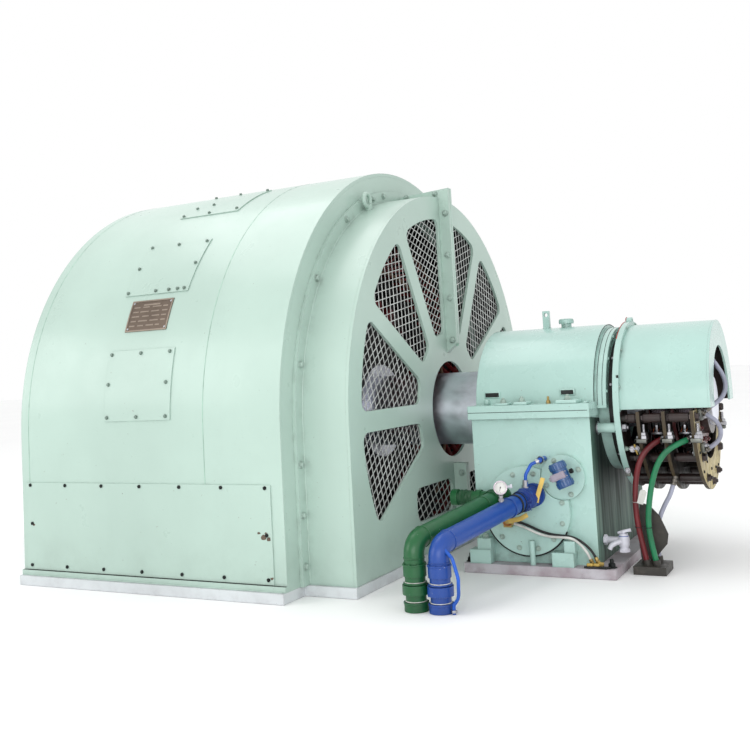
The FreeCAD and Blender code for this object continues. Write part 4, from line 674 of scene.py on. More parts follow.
flange = Mesh()
RINGX = WALL + 0.014
for ang in (79.0, 72.7, 56.7, 34.8, 13.4):
    for side in (1, -1):
        t = math.radians(ang if side > 0 else 180 - ang)
        hexbolt(flange, (RINGX, -0.925 * math.cos(t), H + 0.925 * math.sin(t)), (1, 0, 0), 0.018, 0.010, 0.014, rnd)
for z in (-0.131, -0.304, -0.477):
    for side in (-1, 1):
        hexbolt(flange, (RINGX, side * 0.927, H + z), (1, 0, 0), 0.018, 0.010, 0.014, rnd)
piece("ring_flange_bolts", merge(flange, mirrored_x(flange, MID)), M["bolt_mint"])

fin = Mesh()
for z in (0.829, 0.650, 0.466, 0.288):
    hexbolt(fin, (PX + 0.029, -0.0172, H + z), (0, -1, 0), 0.019, 0.011, 0.0145, rnd, 0.004)
    hexbolt(fin, (PX + 0.029, 0.0172, H + z), (0, 1, 0), 0.019, 0.011, 0.0145, rnd, 0.006)
for z in (-0.268, -0.40, -0.50):
    hexbolt(fin, (PX + 0.036, -0.0172, H + z), (0, -1, 0), 0.019, 0.011, 0.0145, rnd, 0.004)
    hexbolt(fin, (PX + 0.036, 0.0172, H + z), (0, 1, 0), 0.019, 0.011, 0.0145, rnd, 0.006)
for x, z in ((-0.150, 0.919), (-0.014, 0.919)):
    hexbolt(fin, (PX + x, -0.0172, H + z), (0, -1, 0), 0.017, 0.010, 0.0130, rnd, 0.004)
    hexbolt(fin, (PX + x, 0.0172, H + z), (0, 1, 0), 0.017, 0.010, 0.0130, rnd, 0.006)
fin_d = mirrored_x(fin, MIDP)
# the shorter drive-side bell has one bolt on its top
fin_d = Mesh()
for (x, z) in [(0.029, z) for z in (0.829, 0.650, 0.466, 0.288)] + [(0.036, z) for z in (-0.268, -0.40, -0.50)] + [(-0.060, 0.919)]:
    for s in (-1, 1):
        hexbolt(fin_d, (DPX - x, s * 0.0172, H + z), (0, s, 0), 0.018, 0.010, 0.0140, rnd, 0.005)
piece("split_flange_bolts", merge(fin, fin_d), M["bolt_mint"])
# the joint line between the two halves of each split flange
joint = Mesh()
rbox(joint, (PX + 0.0005, -0.0008, H + 0.262), (PX + 0.0475, 0.0008, H + 0.9372), 0.0)
rbox(joint, (PX + 0.0005, -0.0008, SOLE + 0.006), (PX + 0.0555, 0.0008, H - 0.2275), 0.0)
piece("split_flange_joint", merge(joint, mirrored_x(joint, MIDP)), M["seam"])

# sheet seams over the housing, and weld beads where sheets meet
seam = Mesh()
for xs in (PX - 1.380, PX - 0.523):
    pts = [(xs, -RS - 0.0002, z) for z in (SOLE + 0.025, 0.2, 0.4, H)]
    pts += [(xs, -(RS + 0.0002) * math.cos(t), H + (RS + 0.0002) * math.sin(t)) for t in np.radians(np.arange(3, 180, 3))]
    pts += [(xs, RS + 0.0002, z) for z in (H, 0.4, 0.2, SOLE + 0.025)]
    for i in range(len(pts) - 1):
        a, b = Vector(pts[i]), Vector(pts[i + 1])
        out = Vector((0, a.y, a.z - H if a.z > H else 0)).normalized() * 0.0003
        w = Vector((0.0013, 0, 0))
        seam.add([a - w, a + w, b + w, b - w, a - w + out, a + w + out, b + w + out, b - w + out], [(4, 5, 6, 7), (0, 4, 7, 3), (1, 2, 6, 5)])
piece("housing_seams", seam, M["seam"])


def bead(m, pts, r, seed):
    """A weld bead: a tube whose size wavers along its length."""
    q = random.Random(seed)
    return sweep_tube(m, pts, [r * q.uniform(0.8, 1.2) for _ in pts], 6)


welds = Mesh()
# end wall to bell, over the arch and down both legs
path = [(WALL + 0.0145, -0.9005, z) for z in np.linspace(SOLE + 0.004, H, 30)]
path += [(WALL + 0.0145, -0.9005 * math.cos(t), H + 0.9005 * math.sin(t)) for t in np.radians(np.arange(2, 180, 2))]
path += [(WALL + 0.0145, 0.9005, z) for z in np.linspace(H, SOLE + 0.004, 30)]
bead(welds, path, 0.0035, 1)
w2 = mirrored_x(welds, MID)
# housing foot to sole plate
for s in (-1, 1):
    bead(welds, [(x, s * 1.0365, SOLE + 0.002) for x in np.linspace(SHELL0 + 0.01, WALL - 0.01, 90)], 0.0028, 3 + s)
piece("housing_welds", merge(welds, w2), M["housing"], sharp=60)

chips = Mesh()
q = random.Random(4)
for x, z, s in ((-0.282, -0.362, 0.011), (-0.262, -0.368, 0.008), (-0.300, -0.350, 0.005), (-0.272, -0.349, 0.004), (-1.36, -0.352, 0.005), (-0.255, -0.50, 0.006)):
    out = []
    for k in range(9):
        t = 2 * math.pi * k / 9
        r = s * q.uniform(0.55, 1.1)
        out.append((r * math.cos(t) * 1.4, r * math.sin(t)))
    slab(chips, out, 0.0003, Matrix.Translation((PX + x, -RS - 0.0040, H + z)) @ Matrix.Rotation(math.radians(90), 4, "X"), 0.0)
piece("bare_patches", chips, M["rust"])

# ---------------------------------------------------------------- nameplate: a frame, ruled fields and rivets, no lettering
lo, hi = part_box("nameplate")
np_m, np_r = Mesh(), Mesh()
x0, x1 = lo.x, hi.x
a0, a1 = 21.4, 28.8
def np_strip(m, xa, xb, aa, ab, h0, h1):
    n = 6
    verts, faces = [], []
    for i in range(n + 1):
        t = aa + (ab - aa) * i / n
        for x in (xa, xb):
            for r in (RS + h0, RS + h1):
                p, _ = on_shell(x, t, r)
                verts.append(p)
    for i in range(n):
        b = i * 4
        faces += [(b + 1, b + 3, b + 7, b + 5), (b, b + 1, b + 5, b + 4), (b + 2, b + 6, b + 7, b + 3)]
    faces += [(0, 2, 3, 1), (n * 4, n * 4 + 1, n * 4 + 3, n * 4 + 2)]
    m.add(verts, faces)


depth = 0.0
for v in N["nameplate"].data.vertices:
    depth = max(depth, math.hypot(v.co.y, v.co.z - H) - RS)
T = depth
bx = 0.006
ba = math.degrees(bx / RS)
for xa, xb, aa, ab in ((x0, x1, a0, a0 + ba), (x0, x1, a1 - ba, a1), (x0, x0 + bx, a0, a1), (x1 - bx, x1, a0, a1)):
    np_strip(np_m, xa, xb, aa, ab, T - 0.0002, T + 0.0012)
q = random.Random(3)
for row in range(5):
    t = a0 + 1.15 + row * 1.10
    xa = x0 + 0.016
    while xa < x1 - 0.03:
        w = q.uniform(0.020, 0.045)
        np_strip(np_m, xa, min(xa + w, x1 - 0.016), t, t + 0.30, T - 0.0002, T + 0.0006)
        xa += w + q.uniform(0.008, 0.016)
np_strip(np_m, x0 + 0.06, x1 - 0.06, a1 - 1.35, a1 - 0.95, T - 0.0002, T + 0.0006)
M["plate_light"] = steel("nameplate_rules", (0.62, 0.57, 0.52), rough=(0.4, 0.55), axis="Z", grime=0.3, grime_c=(0.3, 0.22, 0.17))
piece("nameplate_rules", np_m, M["plate_light"])
for x in (x0 + 0.011, x1 - 0.011):
    for t in (a0 + 0.65, a1 - 0.65):
        p, n = on_shell(x, t, RS + T)
        lathe(np_r, [(0.0045, 0.0), (0.0042, 0.0012), (0.0028, 0.0023), (0.0008, 0.0028)], 12, p, n)
piece("nameplate_rivets", np_r, M["bolt_bright"])

# ---------------------------------------------------------------- expanded metal in the windows
R_IN, R_OUT, BAR, LAP = 0.322, 0.804, 0.0375, 0.013


def expanded(x, inside, centre, reach, s1, s2, thick=0.0020, half=0.0017):
    """Expanded metal in the plane at x: strands along s1 and s2 (metres) from every node of their grid."""
    m = Mesh()
    (ay, az), (by, bz) = s1, s2
    k = int(reach / min(math.hypot(*s1), math.hypot(*s2))) + 3
    for i in range(-k, k + 1):
        for j in range(-k, k + 1):
            py, pz = centre[0] + i * ay + j * by, centre[1] + i * az + j * bz
            if math.hypot(py - centre[0], pz - centre[1]) > reach:
                continue
            for lean, (ey, ez) in ((1, s1), (-1, s2)):
                if not inside(py + ey / 2, pz + ez / 2):
                    continue
                L = math.hypot(ey, ez)
                dy, dz = ey / L, ez / L
                ny, nz = -dz, dy
                # a strand leans: one of its ends stands prouder than the other
                xa, xb = x - 0.0007 * lean, x + 0.0007 * lean
                e2 = 0.0010
                vs = []
                for qy, qz, xx in ((py - dy * e2, pz - dz * e2, xa), (py + ey + dy * e2, pz + ez + dz * e2, xb)):
                    vs += [(xx - thick / 2, qy + ny * half, qz + nz * half), (xx + thick / 2, qy + ny * half * 0.8, qz + nz * half * 0.8),
                           (xx + thick / 2, qy - ny * half * 0.8, qz - nz * half * 0.8), (xx - thick / 2, qy - ny * half, qz - nz * half)]
                m.add(vs, [(0, 1, 5, 4), (1, 2, 6, 5), (2, 3, 7, 6), (3, 0, 4, 7)])
    return m


def fan_test(ang):
    t = math.radians(ang)
    c, s = math.cos(t), math.sin(t)
    c15, s15 = math.cos(math.radians(15)), math.sin(math.radians(15))
    bar = BAR - LAP

    def inside(y, z):
        # the window's own axes: u outwards, v across
        u, v = -y * c + z * s, y * s + z * c
        r = math.hypot(u, v)
        if r < R_IN - LAP or r > R_OUT + LAP or u < 0:
            return False
        return abs(v) * c15 - u * s15 < -bar

    return inside


LATTICE = [((0.0274, 0.0183), (0.0092, -0.0275)), ((0.0291, 0.0191), (0.0101, -0.0264)), ((0.0316, 0.0059), (0.0, 0.0313)), ((0.0275, -0.0069), (0.0234, 0.0247)),
           ((0.0300, 0.0090), (0.0030, -0.0290)), ((0.0300, -0.0080), (0.0, 0.0290)), ((0.0308, -0.0190), (0.0330, 0.0110)), ((0.0308, 0.0214), (0.0356, -0.0090))]


def screens(x):
    m = Mesh()
    for k in range(8):
        ang = -15.0 + 30.0 * k
        t = math.radians(ang)
        g = expanded(x, fan_test(ang), (-0.58 * math.cos(t), 0.58 * math.sin(t)), 0.36, *LATTICE[k])
        m.add([(p[0], p[1], p[2] + H) for p in g.v], g.f)
    for s in (-1, 1):
        y0, y1 = (0.040 - LAP, 0.392 + LAP)
        lo_y, hi_y = (y0, y1) if s > 0 else (-y1, -y0)
        z0, z1 = 0.165 - LAP, 0.295 + LAP
        g = expanded(x, lambda y, z: lo_y < y < hi_y and z0 < z < z1, ((lo_y + hi_y) / 2, 0.23), 0.26, (0.0340, 0.0140), (0.0160, -0.0285))
        m.add(g.v, g.f)
    return m


ms = screens(PX - 0.0142)
piece("expanded_metal_ring_side", ms, M["mesh"], replaces=["window_screens_ring_side"])
md = mirrored_x(ms, MIDP)
piece("expanded_metal_drive_side", md, M["mesh"], replaces=["window_screens_drive_side"])

# ---------------------------------------------------------------- stator winding overhangs: bent coil ends, lashed to two rings
wind, lash = Mesh(), Mesh()
CX = MID + 0.455
for side in (1, -1):
    COILS, PITCH = 72, 25.0
    for k in range(COILS):
        t0 = 360.0 * k / COILS - 90.0

        def P(dx, r, dt):
            t = math.radians(t0 + dt)
            return Vector((CX + dx if side > 0 else 2 * MID - CX - dx, -r * math.cos(t), H + r * math.sin(t)))

        line = [(0.0, 0.606, 0), (0.022, 0.606, 0), (0.040, 0.612, 2.0), (0.070, 0.630, 6.5), (0.098, 0.652, 10.8), (0.110, 0.672, 12.3), (0.112, 0.688, 12.5), (0.108, 0.704, 12.8), (0.094, 0.722, 14.5), (0.066, 0.736, 18.6), (0.038, 0.745, 23.0), (0.020, 0.748, 25.0), (0.0, 0.748, 25.0)]
        pts = [P(*c) for c in line]
        if min(p.z for p in pts) < 0.02:
            continue
        sweep_tube(wind, pts, 0.0, 6, True, (0.0105, 0.0060, (0, -math.cos(math.radians(t0)), math.sin(math.radians(t0)))))
    for dx, r in ((0.060, 0.605), (0.072, 0.755)):
        arc = []
        for t in np.radians(np.arange(-44, 225, 4)):
            arc.append((CX + dx if side > 0 else 2 * MID - CX - dx, -r * math.cos(t), H + r * math.sin(t)))
        sweep_tube(lash, arc, 0.007, 8)
piece("coil_ends", wind, M["red_winding"], replaces=["stator_windings"], sharp=50)
M["tie_band"] = rubber("lashing_tape", (0.45, 0.36, 0.28), rough=(0.6, 0.8), dust=0.4, dust_c=(0.2, 0.12, 0.1))
piece("coil_support_rings", lash, M["tie_band"])
# stator teeth and slots on the core's end faces
teeth = Mesh()
for xf, s in ((CX, 1), (2 * MID - CX, -1)):
    for k in range(72):
        t = math.radians(360.0 * k / 72 - 87.5)
        z = H + 0.59 * math.sin(t)
        if z < 0.05:
            continue
        c, s2 = math.cos(t), math.sin(t)
        ro = 0.775 if s2 > -0.60 else min(0.775, (H - 0.045) / -s2)
        if ro < 0.600:
            continue
        mt = Matrix(((0, 0, s, xf), (-c, -s2, 0, 0), (s2, -c, 0, H), (0, 0, 0, 1)))
        slab(teeth, [(0.556, -0.008), (ro, -0.010), (ro, 0.010), (0.556, 0.008)], 0.006, mt, 0.0)
piece("core_end_fingers", teeth, M["core"])

def varnished(name):
    """Field coils: near black as painted shade inside the machine, with patches where the red varnish shows."""
    p = Mat(name)
    base = p.mix(p.ramp(p.noise(20.0, 4.0), 0.3, 0.7), (0.055, 0.040, 0.042), (0.095, 0.065, 0.068))
    base = p.mix(p.math("MULTIPLY", p.ramp(p.noise(2.6, 3.0), 0.50, 0.60), p.ramp(p.noise(40.0, 5.0), 0.3, 0.6, 0.5, 1.0)), base, (0.46, 0.10, 0.11))
    p.color(base)
    p.rough(p.ramp(p.noise(30.0, 5.0), 0.3, 0.7, 0.40, 0.65))
    p.normal(p.bump(p.noise(300.0, 2.0), 0.0002, 0.6))
    return p.m


M["coil_dark"] = varnished("field_coil_varnish")
N["rotor_field_coils"].data.materials[0] = M["coil_dark"]


# ---------------------------------------------------------------- surfaces that differ from face to face
def oil_runs_and_painted_shadow(name, c, dark, height=(0.06, 0.40), across=(-0.40, -0.27)):
    """Paint under an oil leak, in a painted shadow below the collector: dark runs and shade from the top, lighter at
    the near edge and low down.
    """
    p = Mat(name)
    fine = p.noise(26.0, 6.0, 0.6, co=p.stretched(1.0, 1.0, 0.07))
    broad = p.noise(7.0, 4.0, 0.5, co=p.stretched(1.0, 1.0, 0.15))
    base = p.mix(p.ramp(fine, 0.40, 0.66), c, tuple(x * 0.80 for x in c))
    # painted shadow: darker high up and away from the near edge, where the collector shades the end face
    top = p.ramp(p.height(), height[0], height[1], 0.45, 1.0)
    side = p.ramp(p.place(1), across[0], across[1], 0.15, 1.0)
    mask = p.math("MULTIPLY", p.math("MULTIPLY", top, side), p.ramp(broad, 0.30, 0.60, 0.70, 1.0))
    base = p.mix(mask, base, dark)
    runs = p.math("MULTIPLY", p.ramp(fine, 0.52, 0.66), p.math("MULTIPLY", side, 0.55))
    base = p.mix(runs, base, tuple(x * 0.55 for x in dark))
    # painted shadow, darkest under the collector's rods
    under = p.math("MULTIPLY", p.ramp(p.height(), 0.28, 0.50), side)
    base = p.mix(p.math("MULTIPLY", under, 0.8), base, tuple(x * 0.6 for x in dark))
    low = p.math("MULTIPLY", p.ramp(p.height(), 0.03, 0.12, 1.0, 0.0), p.ramp(p.noise(9.0, 7.0), 0.35, 0.7))
    base = p.mix(p.math("MULTIPLY", low, 0.6), base, (0.33, 0.28, 0.28))
    p.color(base)
    p.rough(p.ramp(fine, 0.35, 0.65, 0.45, 0.65))
    bn, _ = p.rim(0.003)
    p.normal(p.bump(p.noise(5.0, 2.0), 0.001, 1.0, bn))
    p.set(coat=0.0, spec=0.3)
    return p.m


# the pedestals' end faces under the collector: oil runs and a painted shadow
M["ped_end"] = oil_runs_and_painted_shadow("bearing_paint_oil_and_painted_shadow", (0.38, 0.52, 0.46), (0.060, 0.110, 0.095))
for nm, s in (("bearing_pedestal_ring_side", 1), ("bearing_pedestal_drive_side", -1)):
    me = N[nm].data
    me.materials.append(M["ped_end"])
    for p in me.polygons:
        if p.normal.x * s > 0.9 and p.center.z < H - 0.040:
            p.material_index = 1
# soot and painted shade: the plates' faces between the plates are dark where they shade each other
M["board_dark"] = rubber("epoxy_board_sooty_painted_shade", (0.10, 0.085, 0.075), rough=(0.35, 0.6), dust=0.55, dust_c=(0.30, 0.25, 0.17))
M["board_edge"] = rubber("epoxy_board_edge", (0.26, 0.215, 0.13), rough=(0.4, 0.6), dust=0.75, dust_c=(0.22, 0.17, 0.12))


def spotted(name):
    """Yellow board with carbon dust, dark runs and small dark pits."""
    p = Mat(name)
    base = p.mix(p.ramp(p.noise(14.0, 6.0, 0.6), 0.3, 0.7), (0.62, 0.56, 0.38), (0.78, 0.72, 0.52))
    base = p.mix(p.math("MULTIPLY", p.ramp(p.noise(34.0, 7.0, 0.7), 0.50, 0.66), 0.65), base, (0.30, 0.25, 0.20))
    base = p.mix(p.ramp(p.voronoi(78.0), 0.12, 0.22, 0.9, 0.0), base, (0.10, 0.08, 0.07))
    top = p.ramp(p.height(), 0.30, 0.50)
    base = p.mix(p.math("MULTIPLY", top, p.ramp(p.noise(12.0, 5.0), 0.35, 0.6, 0.25, 0.8)), base, (0.26, 0.21, 0.16))
    p.color(base)
    p.rough(p.ramp(p.noise(30.0, 5.0), 0.3, 0.7, 0.42, 0.62))
    bn, _ = p.rim(0.001)
    p.normal(p.bump(p.noise(220.0, 3.0), 0.0003, 0.6, bn))
    return p.m


M["board_spots"] = spotted("epoxy_board_spots")
me = N["brush_ring_plates"].data
for k in ("board_dark", "board_edge", "board_spots"):
    me.materials.append(M[k])
# faces between the plates take the dark board as painted shade; the outer plate's outer face keeps its spots
for p in me.polygons:
    if abs(p.normal.x) > 0.9:
        p.material_index = 3 if p.center.x > PX + 1.030 and p.normal.x > 0 else 1
    elif math.hypot(p.center.y, p.center.z - H) > 0.30:
        p.material_index = 2
    else:
        p.material_index = 1
N["cable_entry_box"].data.materials[0] = M["guide"]
# the rods' ends behind the disc take the same dark board, painted shade
me = N["standoff_rods"].data
me.materials.append(M["board_dark"])
for p in me.polygons:
    if p.center.x > PX + 0.7801:
        p.material_index = 1
M["hood_in"] = rubber("hood_inside", (0.16, 0.09, 0.085), rough=(0.5, 0.75), dust=0.4, dust_c=(0.22, 0.20, 0.19))
for nm in ("slip_ring_hood", "hood_end_plate", "carrier_disc"):
    me = N[nm].data
    me.materials.append(M["hood_in"])
    for p in me.polygons:
        c, n = p.center, p.normal
        inward = n.y * c.y + n.z * (c.z - H) < -0.3 * math.hypot(c.y, c.z - H) and abs(n.x) < 0.5
        if nm == "slip_ring_hood" and inward and math.hypot(c.y, c.z - H) < 0.2975:
            p.material_index = 1
        if nm == "hood_end_plate" and n.x < -0.9:
            p.material_index = 1
        if nm == "carrier_disc" and n.x > 0.9 and c.z < H - 0.008 and math.hypot(c.y, c.z - H) < 0.30:
            p.material_index = 1


# ---------------------------------------------------------------- bearings: bolts, pads, gaskets, small fittings
def W(x, y, z):
    """A place given from the end plate's centre in millimetres."""
    return Vector((PX + x / 1000, y / 1000, H + z / 1000))


def arc_tube(m, x, r, a0, a1, rad, step=4.0, n=6, flat=None):
    """A thin bead along an arc round the shaft's axis. Angles rise from the near side's level over the top."""
    k = max(2, int(abs(a1 - a0) / step))
    pts = [W(x, -r * math.cos(math.radians(a0 + (a1 - a0) * i / k)), r * math.sin(math.radians(a0 + (a1 - a0) * i / k))) for i in range(k + 1)]
    return sweep_tube(m, pts, rad, n)


def knuckle(m, at, axis, r0, r1, n, h):
    """A short knurled ring."""
    u, v, w = basis(axis)
    at = Vector(at)
    verts, faces = [], []
    for hh in (0.0, h):
        for k in range(2 * n):
            t = math.pi * k / n
            r = r1 if k % 2 else r0
            verts.append(at + w * hh + (u * math.cos(t) + v * math.sin(t)) * r)
    for k in range(2 * n):
        a, b = k, (k + 1) % (2 * n)
        faces.append((a, b, b + 2 * n, a + 2 * n))
    faces.append(tuple(range(2 * n - 1, -1, -1)))
    faces.append(tuple(range(2 * n, 4 * n)))
    return m.add(verts, faces)


rnd = random.Random(21)
cov, gas = Mesh(), Mesh()
for cx, skip in ((441.0, True), (-1838.0, False)):
    for a in ((109, 76, 13, -18, -46, -75, -105, -136, 140, 168, -163) if skip else range(-165, 181, 30)):
        t = math.radians(a)
        rr = 137.0
        hexbolt(cov, W(cx + rr * math.cos(t), -404, -357 + rr * math.sin(t)), (0, -1, 0), 0.013, 0.007, 0.0098, rnd, 0.003)
    pts = [W(cx + 161.5 * math.cos(math.radians(a)), -402.5, -357 + 161.5 * math.sin(math.radians(a))) for a in range(-158, -22, 4)]
    sweep_tube(gas, pts, 0.0032, 8)
for a in (25, 115, 205, 295):
    t = math.radians(a)
    hexbolt(cov, W(580 + 66 * math.cos(t), -396, -237 + 66 * math.sin(t)), (0, -1, 0), 0.013, 0.007, 0.0098, rnd, 0.003)
piece("cooler_cover_bolts", cov, M["bolt_mint"])
piece("cooler_cover_gasket", gas, M["seal"])

pads, slots, small = Mesh(), Mesh(), Mesh()
for x0, span in ((233.0, 455.0), (-2024.0, 379.0)):
    k = span / 455.0
    for s in (-1, 1):
        def PB(xa, xb, ya, yb, za, zb, m=pads, bev=0.004):
            rbox(m, W(x0 + (xa - 233) * k, min(s * ya, s * yb), za), W(x0 + (xb - 233) * k, max(s * ya, s * yb), zb), bev, 3)
        PB(413, 464, 338, 399, 24.5, 36)
        PB(572, 649, 318, 399, 24.5, 38)
        PB(674, 686, 350, 399, 24.5, 31, bev=0.003)
        PB(340, 391, 345, 399, 24.5, 33)
        PB(273, 290, 300, 330, 24.5, 45, bev=0.005)
        # bosses high on the cap's side, each with a square hole drawn as a dark patch: painted shade
        for xc, half, zc in ((592.5, 23, 62), (300.0, 27, 61)):
            PB(xc - half - 5, xc + half + 5, 296, 309.5, zc - 13, zc + 13, bev=0.003)
            PB(xc - half, xc + half, 308.9, 310.3, zc - 8, zc + 8, m=slots, bev=0.0)
        # shim line between cap and pedestal
        PB(233.5, 687.5, 400.2, 402.6, -0.9, 0.9, m=slots, bev=0.0)
        PB(233.5, 687.5, 379.2, 380.6, -26.8, -25.0, m=slots, bev=0.0)
        for xc in (438, 610, 365):
            hexbolt(small, W(x0 + (xc - 233) * k, s * 370, 36 if xc == 438 else (38 if xc == 610 else 33)), (0, 0, 1), 0.019, 0.011, 0.0145, rnd, 0.006)
M["slot_dark"] = rubber("slot_dark", (0.045, 0.055, 0.055), rough=(0.5, 0.7), dust=0.4, dust_c=(0.22, 0.27, 0.25))
piece("cap_flange_pads", pads, M["bearing"], sharp=50)
piece("cap_side_openings", slots, M["slot_dark"])
piece("cap_flange_bolts", small, M["bolt_mint"])
tan = Mesh()
for s in (-1, 1):
    hexbolt(tan, W(530, s * 345, 25), (0, 0, 1), 0.015, 0.010, 0.0105, rnd, 0.014)
piece("cap_dowel_screw", tan, M["brass"])

# breather caps: a knurled skirt and a crown; lifting eyes: weld beads; end cover: steps and screws
trim = Mesh()
for xb in (518.0, -1779.0):
    knuckle(trim, W(xb, 0, 328), (0, 0, 1), 0.0288, 0.0296, 40, 0.008)
    lathe(trim, [(0.0275, 0.0), (0.0265, 0.0025), (0.018, 0.0040), (0.006, 0.0046)], 32, W(xb, 0, 340), (0, 0, 1))
for xe in (437.0, -1860.0):
    for s in (-1, 1):
        bead(trim, [W(xe + d, s * 10.0, 310.5) for d in np.linspace(-13, 13, 9)], 0.0028, 31)
        bead(trim, [W(xe + s * 13.6, d, 310.8) for d in np.linspace(-9, 9, 7)], 0.0028, 32)
piece("cap_trims", trim, M["bearing"], sharp=50)
grooves = Mesh()
for x in (698.0, 716.0):
    arc_tube(grooves, x, 295.9, 2, 178, 0.0011, 3.0)
for x, r in ((730.2, 280.0),):
    arc_tube(grooves, x, r, 2, 178, 0.0012, 3.0)
arc_tube(grooves, 688.5, 309.2, 2, 178, 0.0012, 3.0)
piece("end_cover_grooves", grooves, M["slot_dark"])
ecs, sealb = Mesh(), Mesh()
for a in range(12, 180, 26):
    t = math.radians(a)
    capscrew(ecs, W(729.8, -287 * math.cos(t), 287 * math.sin(t)), (1, 0, 0), 0.0055, 0.005)
for a in range(18, 180, 24):
    t = math.radians(a)
    n = Vector((0, -math.cos(t), math.sin(t)))
    hexbolt(sealb, W(740, -262 * math.cos(t), 262 * math.sin(t)), n, 0.010, 0.006, 0.0, rnd)
for a in range(-162, 0, 24):
    t = math.radians(a)
    n = Vector((0, -math.cos(t), math.sin(t)))
    hexbolt(sealb, W(740, -262 * math.cos(t), 262 * math.sin(t)), n, 0.010, 0.006, 0.0, rnd)
piece("end_cover_screws", ecs, M["bearing"])
piece("seal_ring_bolts", sealb, M["bolt_bright"])
sb2 = Mesh()
for xs, s in ((-2044.0, -1), (219.0, -1), (-1631.0, 1)):
    for a in range(15, 375, 45):
        t = math.radians(a)
        hexbolt(sb2, W(xs, 207 * math.cos(t), 207 * math.sin(t)), (s, 0, 0), 0.010, 0.005, 0.0, rnd)
piece("inner_seal_bolts", sb2, M["bolt_bright"])

# feet: screws on the upper blocks and weld beads along their foot
ft, fw = Mesh(), Mesh()
for xa, xb in ((251, 303), (578, 617), (-2020, -1972), (-1703, -1655)):
    for s in (-1, 1):
        hexbolt(ft, W((xa + xb) / 2, s * 404, -457), (0, 0, 1), 0.020, 0.012, 0.0, rnd, 0.004)
for xa, xb in ((223, 303), (534, 612), (-2034, -1958), (-1717, -1641)):
    for s in (-1, 1):
        bead(fw, [W(v, s * 434.5, -545.5) for v in np.linspace(xa, xb, 20)], 0.0024, int(xa) % 97)
for xa, xb, yy in ((239, 688, 380.5), (-2024, -1651, 380.5)):
    for s in (-1, 1):
        bead(fw, [W(v, s * yy, -545.5) for v in np.linspace(xa, xb, 70)], 0.0024, int(xb) % 89)
piece("foot_screws", ft, M["bolt_mint"])
piece("foot_welds", fw, M["bearing"], sharp=60)
anchor = Mesh()
for x in (214, 738, -2043, -1622):
    for s in (-1, 1):
        hexbolt(anchor, W(x, s * 404, -546), (0, 0, 1), 0.024, 0.014, 0.018, rnd, 0.014)
piece("pedestal_sole_bolts", anchor, M["bolt_dark"])

# stand-off rods: a nut at the pedestal and at the disc
rods = Mesh()
for s in (-1, 1):
    hexbolt(rods, W(780, s * 284, -72), (1, 0, 0), 0.026, 0.014, 0.017, rnd, 0.006)
    ring(rods, 0.0178, 0.0235, 0.0, 0.005, 24, W(688.5, s * 284, -72), (1, 0, 0))
piece("standoff_nuts", rods, M["bolt_bright"])

# red sealing edge that shows behind the carrier disc
red = Mesh()
arc_tube(red, 758.2, 315.2, 52, 86, 0.0016, 2.0)
ear = [W(758.2, -18.4 * math.sin(math.radians(a)), 313 + 18.4 * math.cos(math.radians(a))) for a in range(-60, 75, 12)]
sweep_tube(red, ear, 0.0016, 6)
M["red_edge"] = rubber("edge_seal_red", (0.66, 0.14, 0.10), rough=(0.4, 0.6), dust=0.3)
piece("disc_edge_seal", red, M["red_edge"])
# slots in the disc: dark patches, painted shade in the openings
dm = Mesh()
rbox(dm, W(772, -296.6, 104), W(780.3, -293.0, 116), 0.0)
rbox(dm, W(779.6, -26, 282), W(780.5, -22, 292), 0.0)
piece("disc_slots", dm, M["slot_dark"])
# screws along the disc and the hood's foot flange
ds = Mesh()
for a in range(14, 170, 28):
    t = math.radians(a)
    capscrew(ds, W(780, -307.5 * math.cos(t), 307.5 * math.sin(t)), (1, 0, 0), 0.0050, 0.004)
for a in (-30, -60, -90, -120, -150):
    t = math.radians(a)
    hexbolt(ds, W(780, -300 * math.cos(t), 300 * math.sin(t)), (1, 0, 0), 0.013, 0.008, 0.010, rnd, 0.004)
piece("disc_screws", ds, M["bolt_mint"])

# ---------------------------------------------------------------- transmitter, gauge, valve
AX = Vector((math.sin(math.radians(-22.0)), 0, math.cos(math.radians(-22.0))))
TB = W(612, -456, -263)
tx, band, gl, dk = Mesh(), Mesh(), Mesh(), Mesh()
lathe(tx, [(0.0255, 0.0), (0.0295, 0.0015), (0.0300, 0.0060)], 40, TB, AX)
knuckle(tx, TB + AX * 0.006, AX, 0.0302, 0.0318, 22, 0.016)
lathe(tx, [(0.0300, 0.022), (0.0300, 0.0245), (0.0285, 0.0255), (0.0285, 0.0645), (0.0300, 0.0655), (0.0300, 0.0680)], 40, TB, AX)
knuckle(tx, TB + AX * 0.068, AX, 0.0302, 0.0318, 22, 0.017)
lathe(tx, [(0.0300, 0.085), (0.0298, 0.0890), (0.0260, 0.0920), (0.0120, 0.0920)], 40, TB, AX)
piece("transmitter_body", tx, M["inst_blue"], replaces=["temperature_transmitter"], sharp=40)
mid = TB + AX * 0.0450
tilt = Matrix((Vector((AX.z, 0, -AX.x)), Vector((0, 1, 0)), AX)).transposed().to_4x4()
tm = Matrix.Translation(mid) @ tilt
rbox(band, (-0.034, -0.0300, -0.0125), (0.020, 0.010, 0.0125), 0.004, 3, tm)
rbox(band, (-0.026, -0.0315, -0.0085), (0.013, -0.029, 0.0085), 0.0008, 1, tm)
piece("transmitter_band", band, M["inst_grey"])
side = Vector((-AX.z, 0, AX.x))
hexbolt(gl, mid + side * 0.034, side, 0.019, 0.008, 0.0, rnd)
disc(gl, 0.0075, 0.042, 0.0475, 20, mid, side)
hexbolt(gl, W(590, -398, -222), (0, -1, 0), 0.030, 0.012, 0.0, rnd)
disc(gl, 0.0115, 0.0, 0.028, 24, W(590, -405, -222), (0, -1, 0))
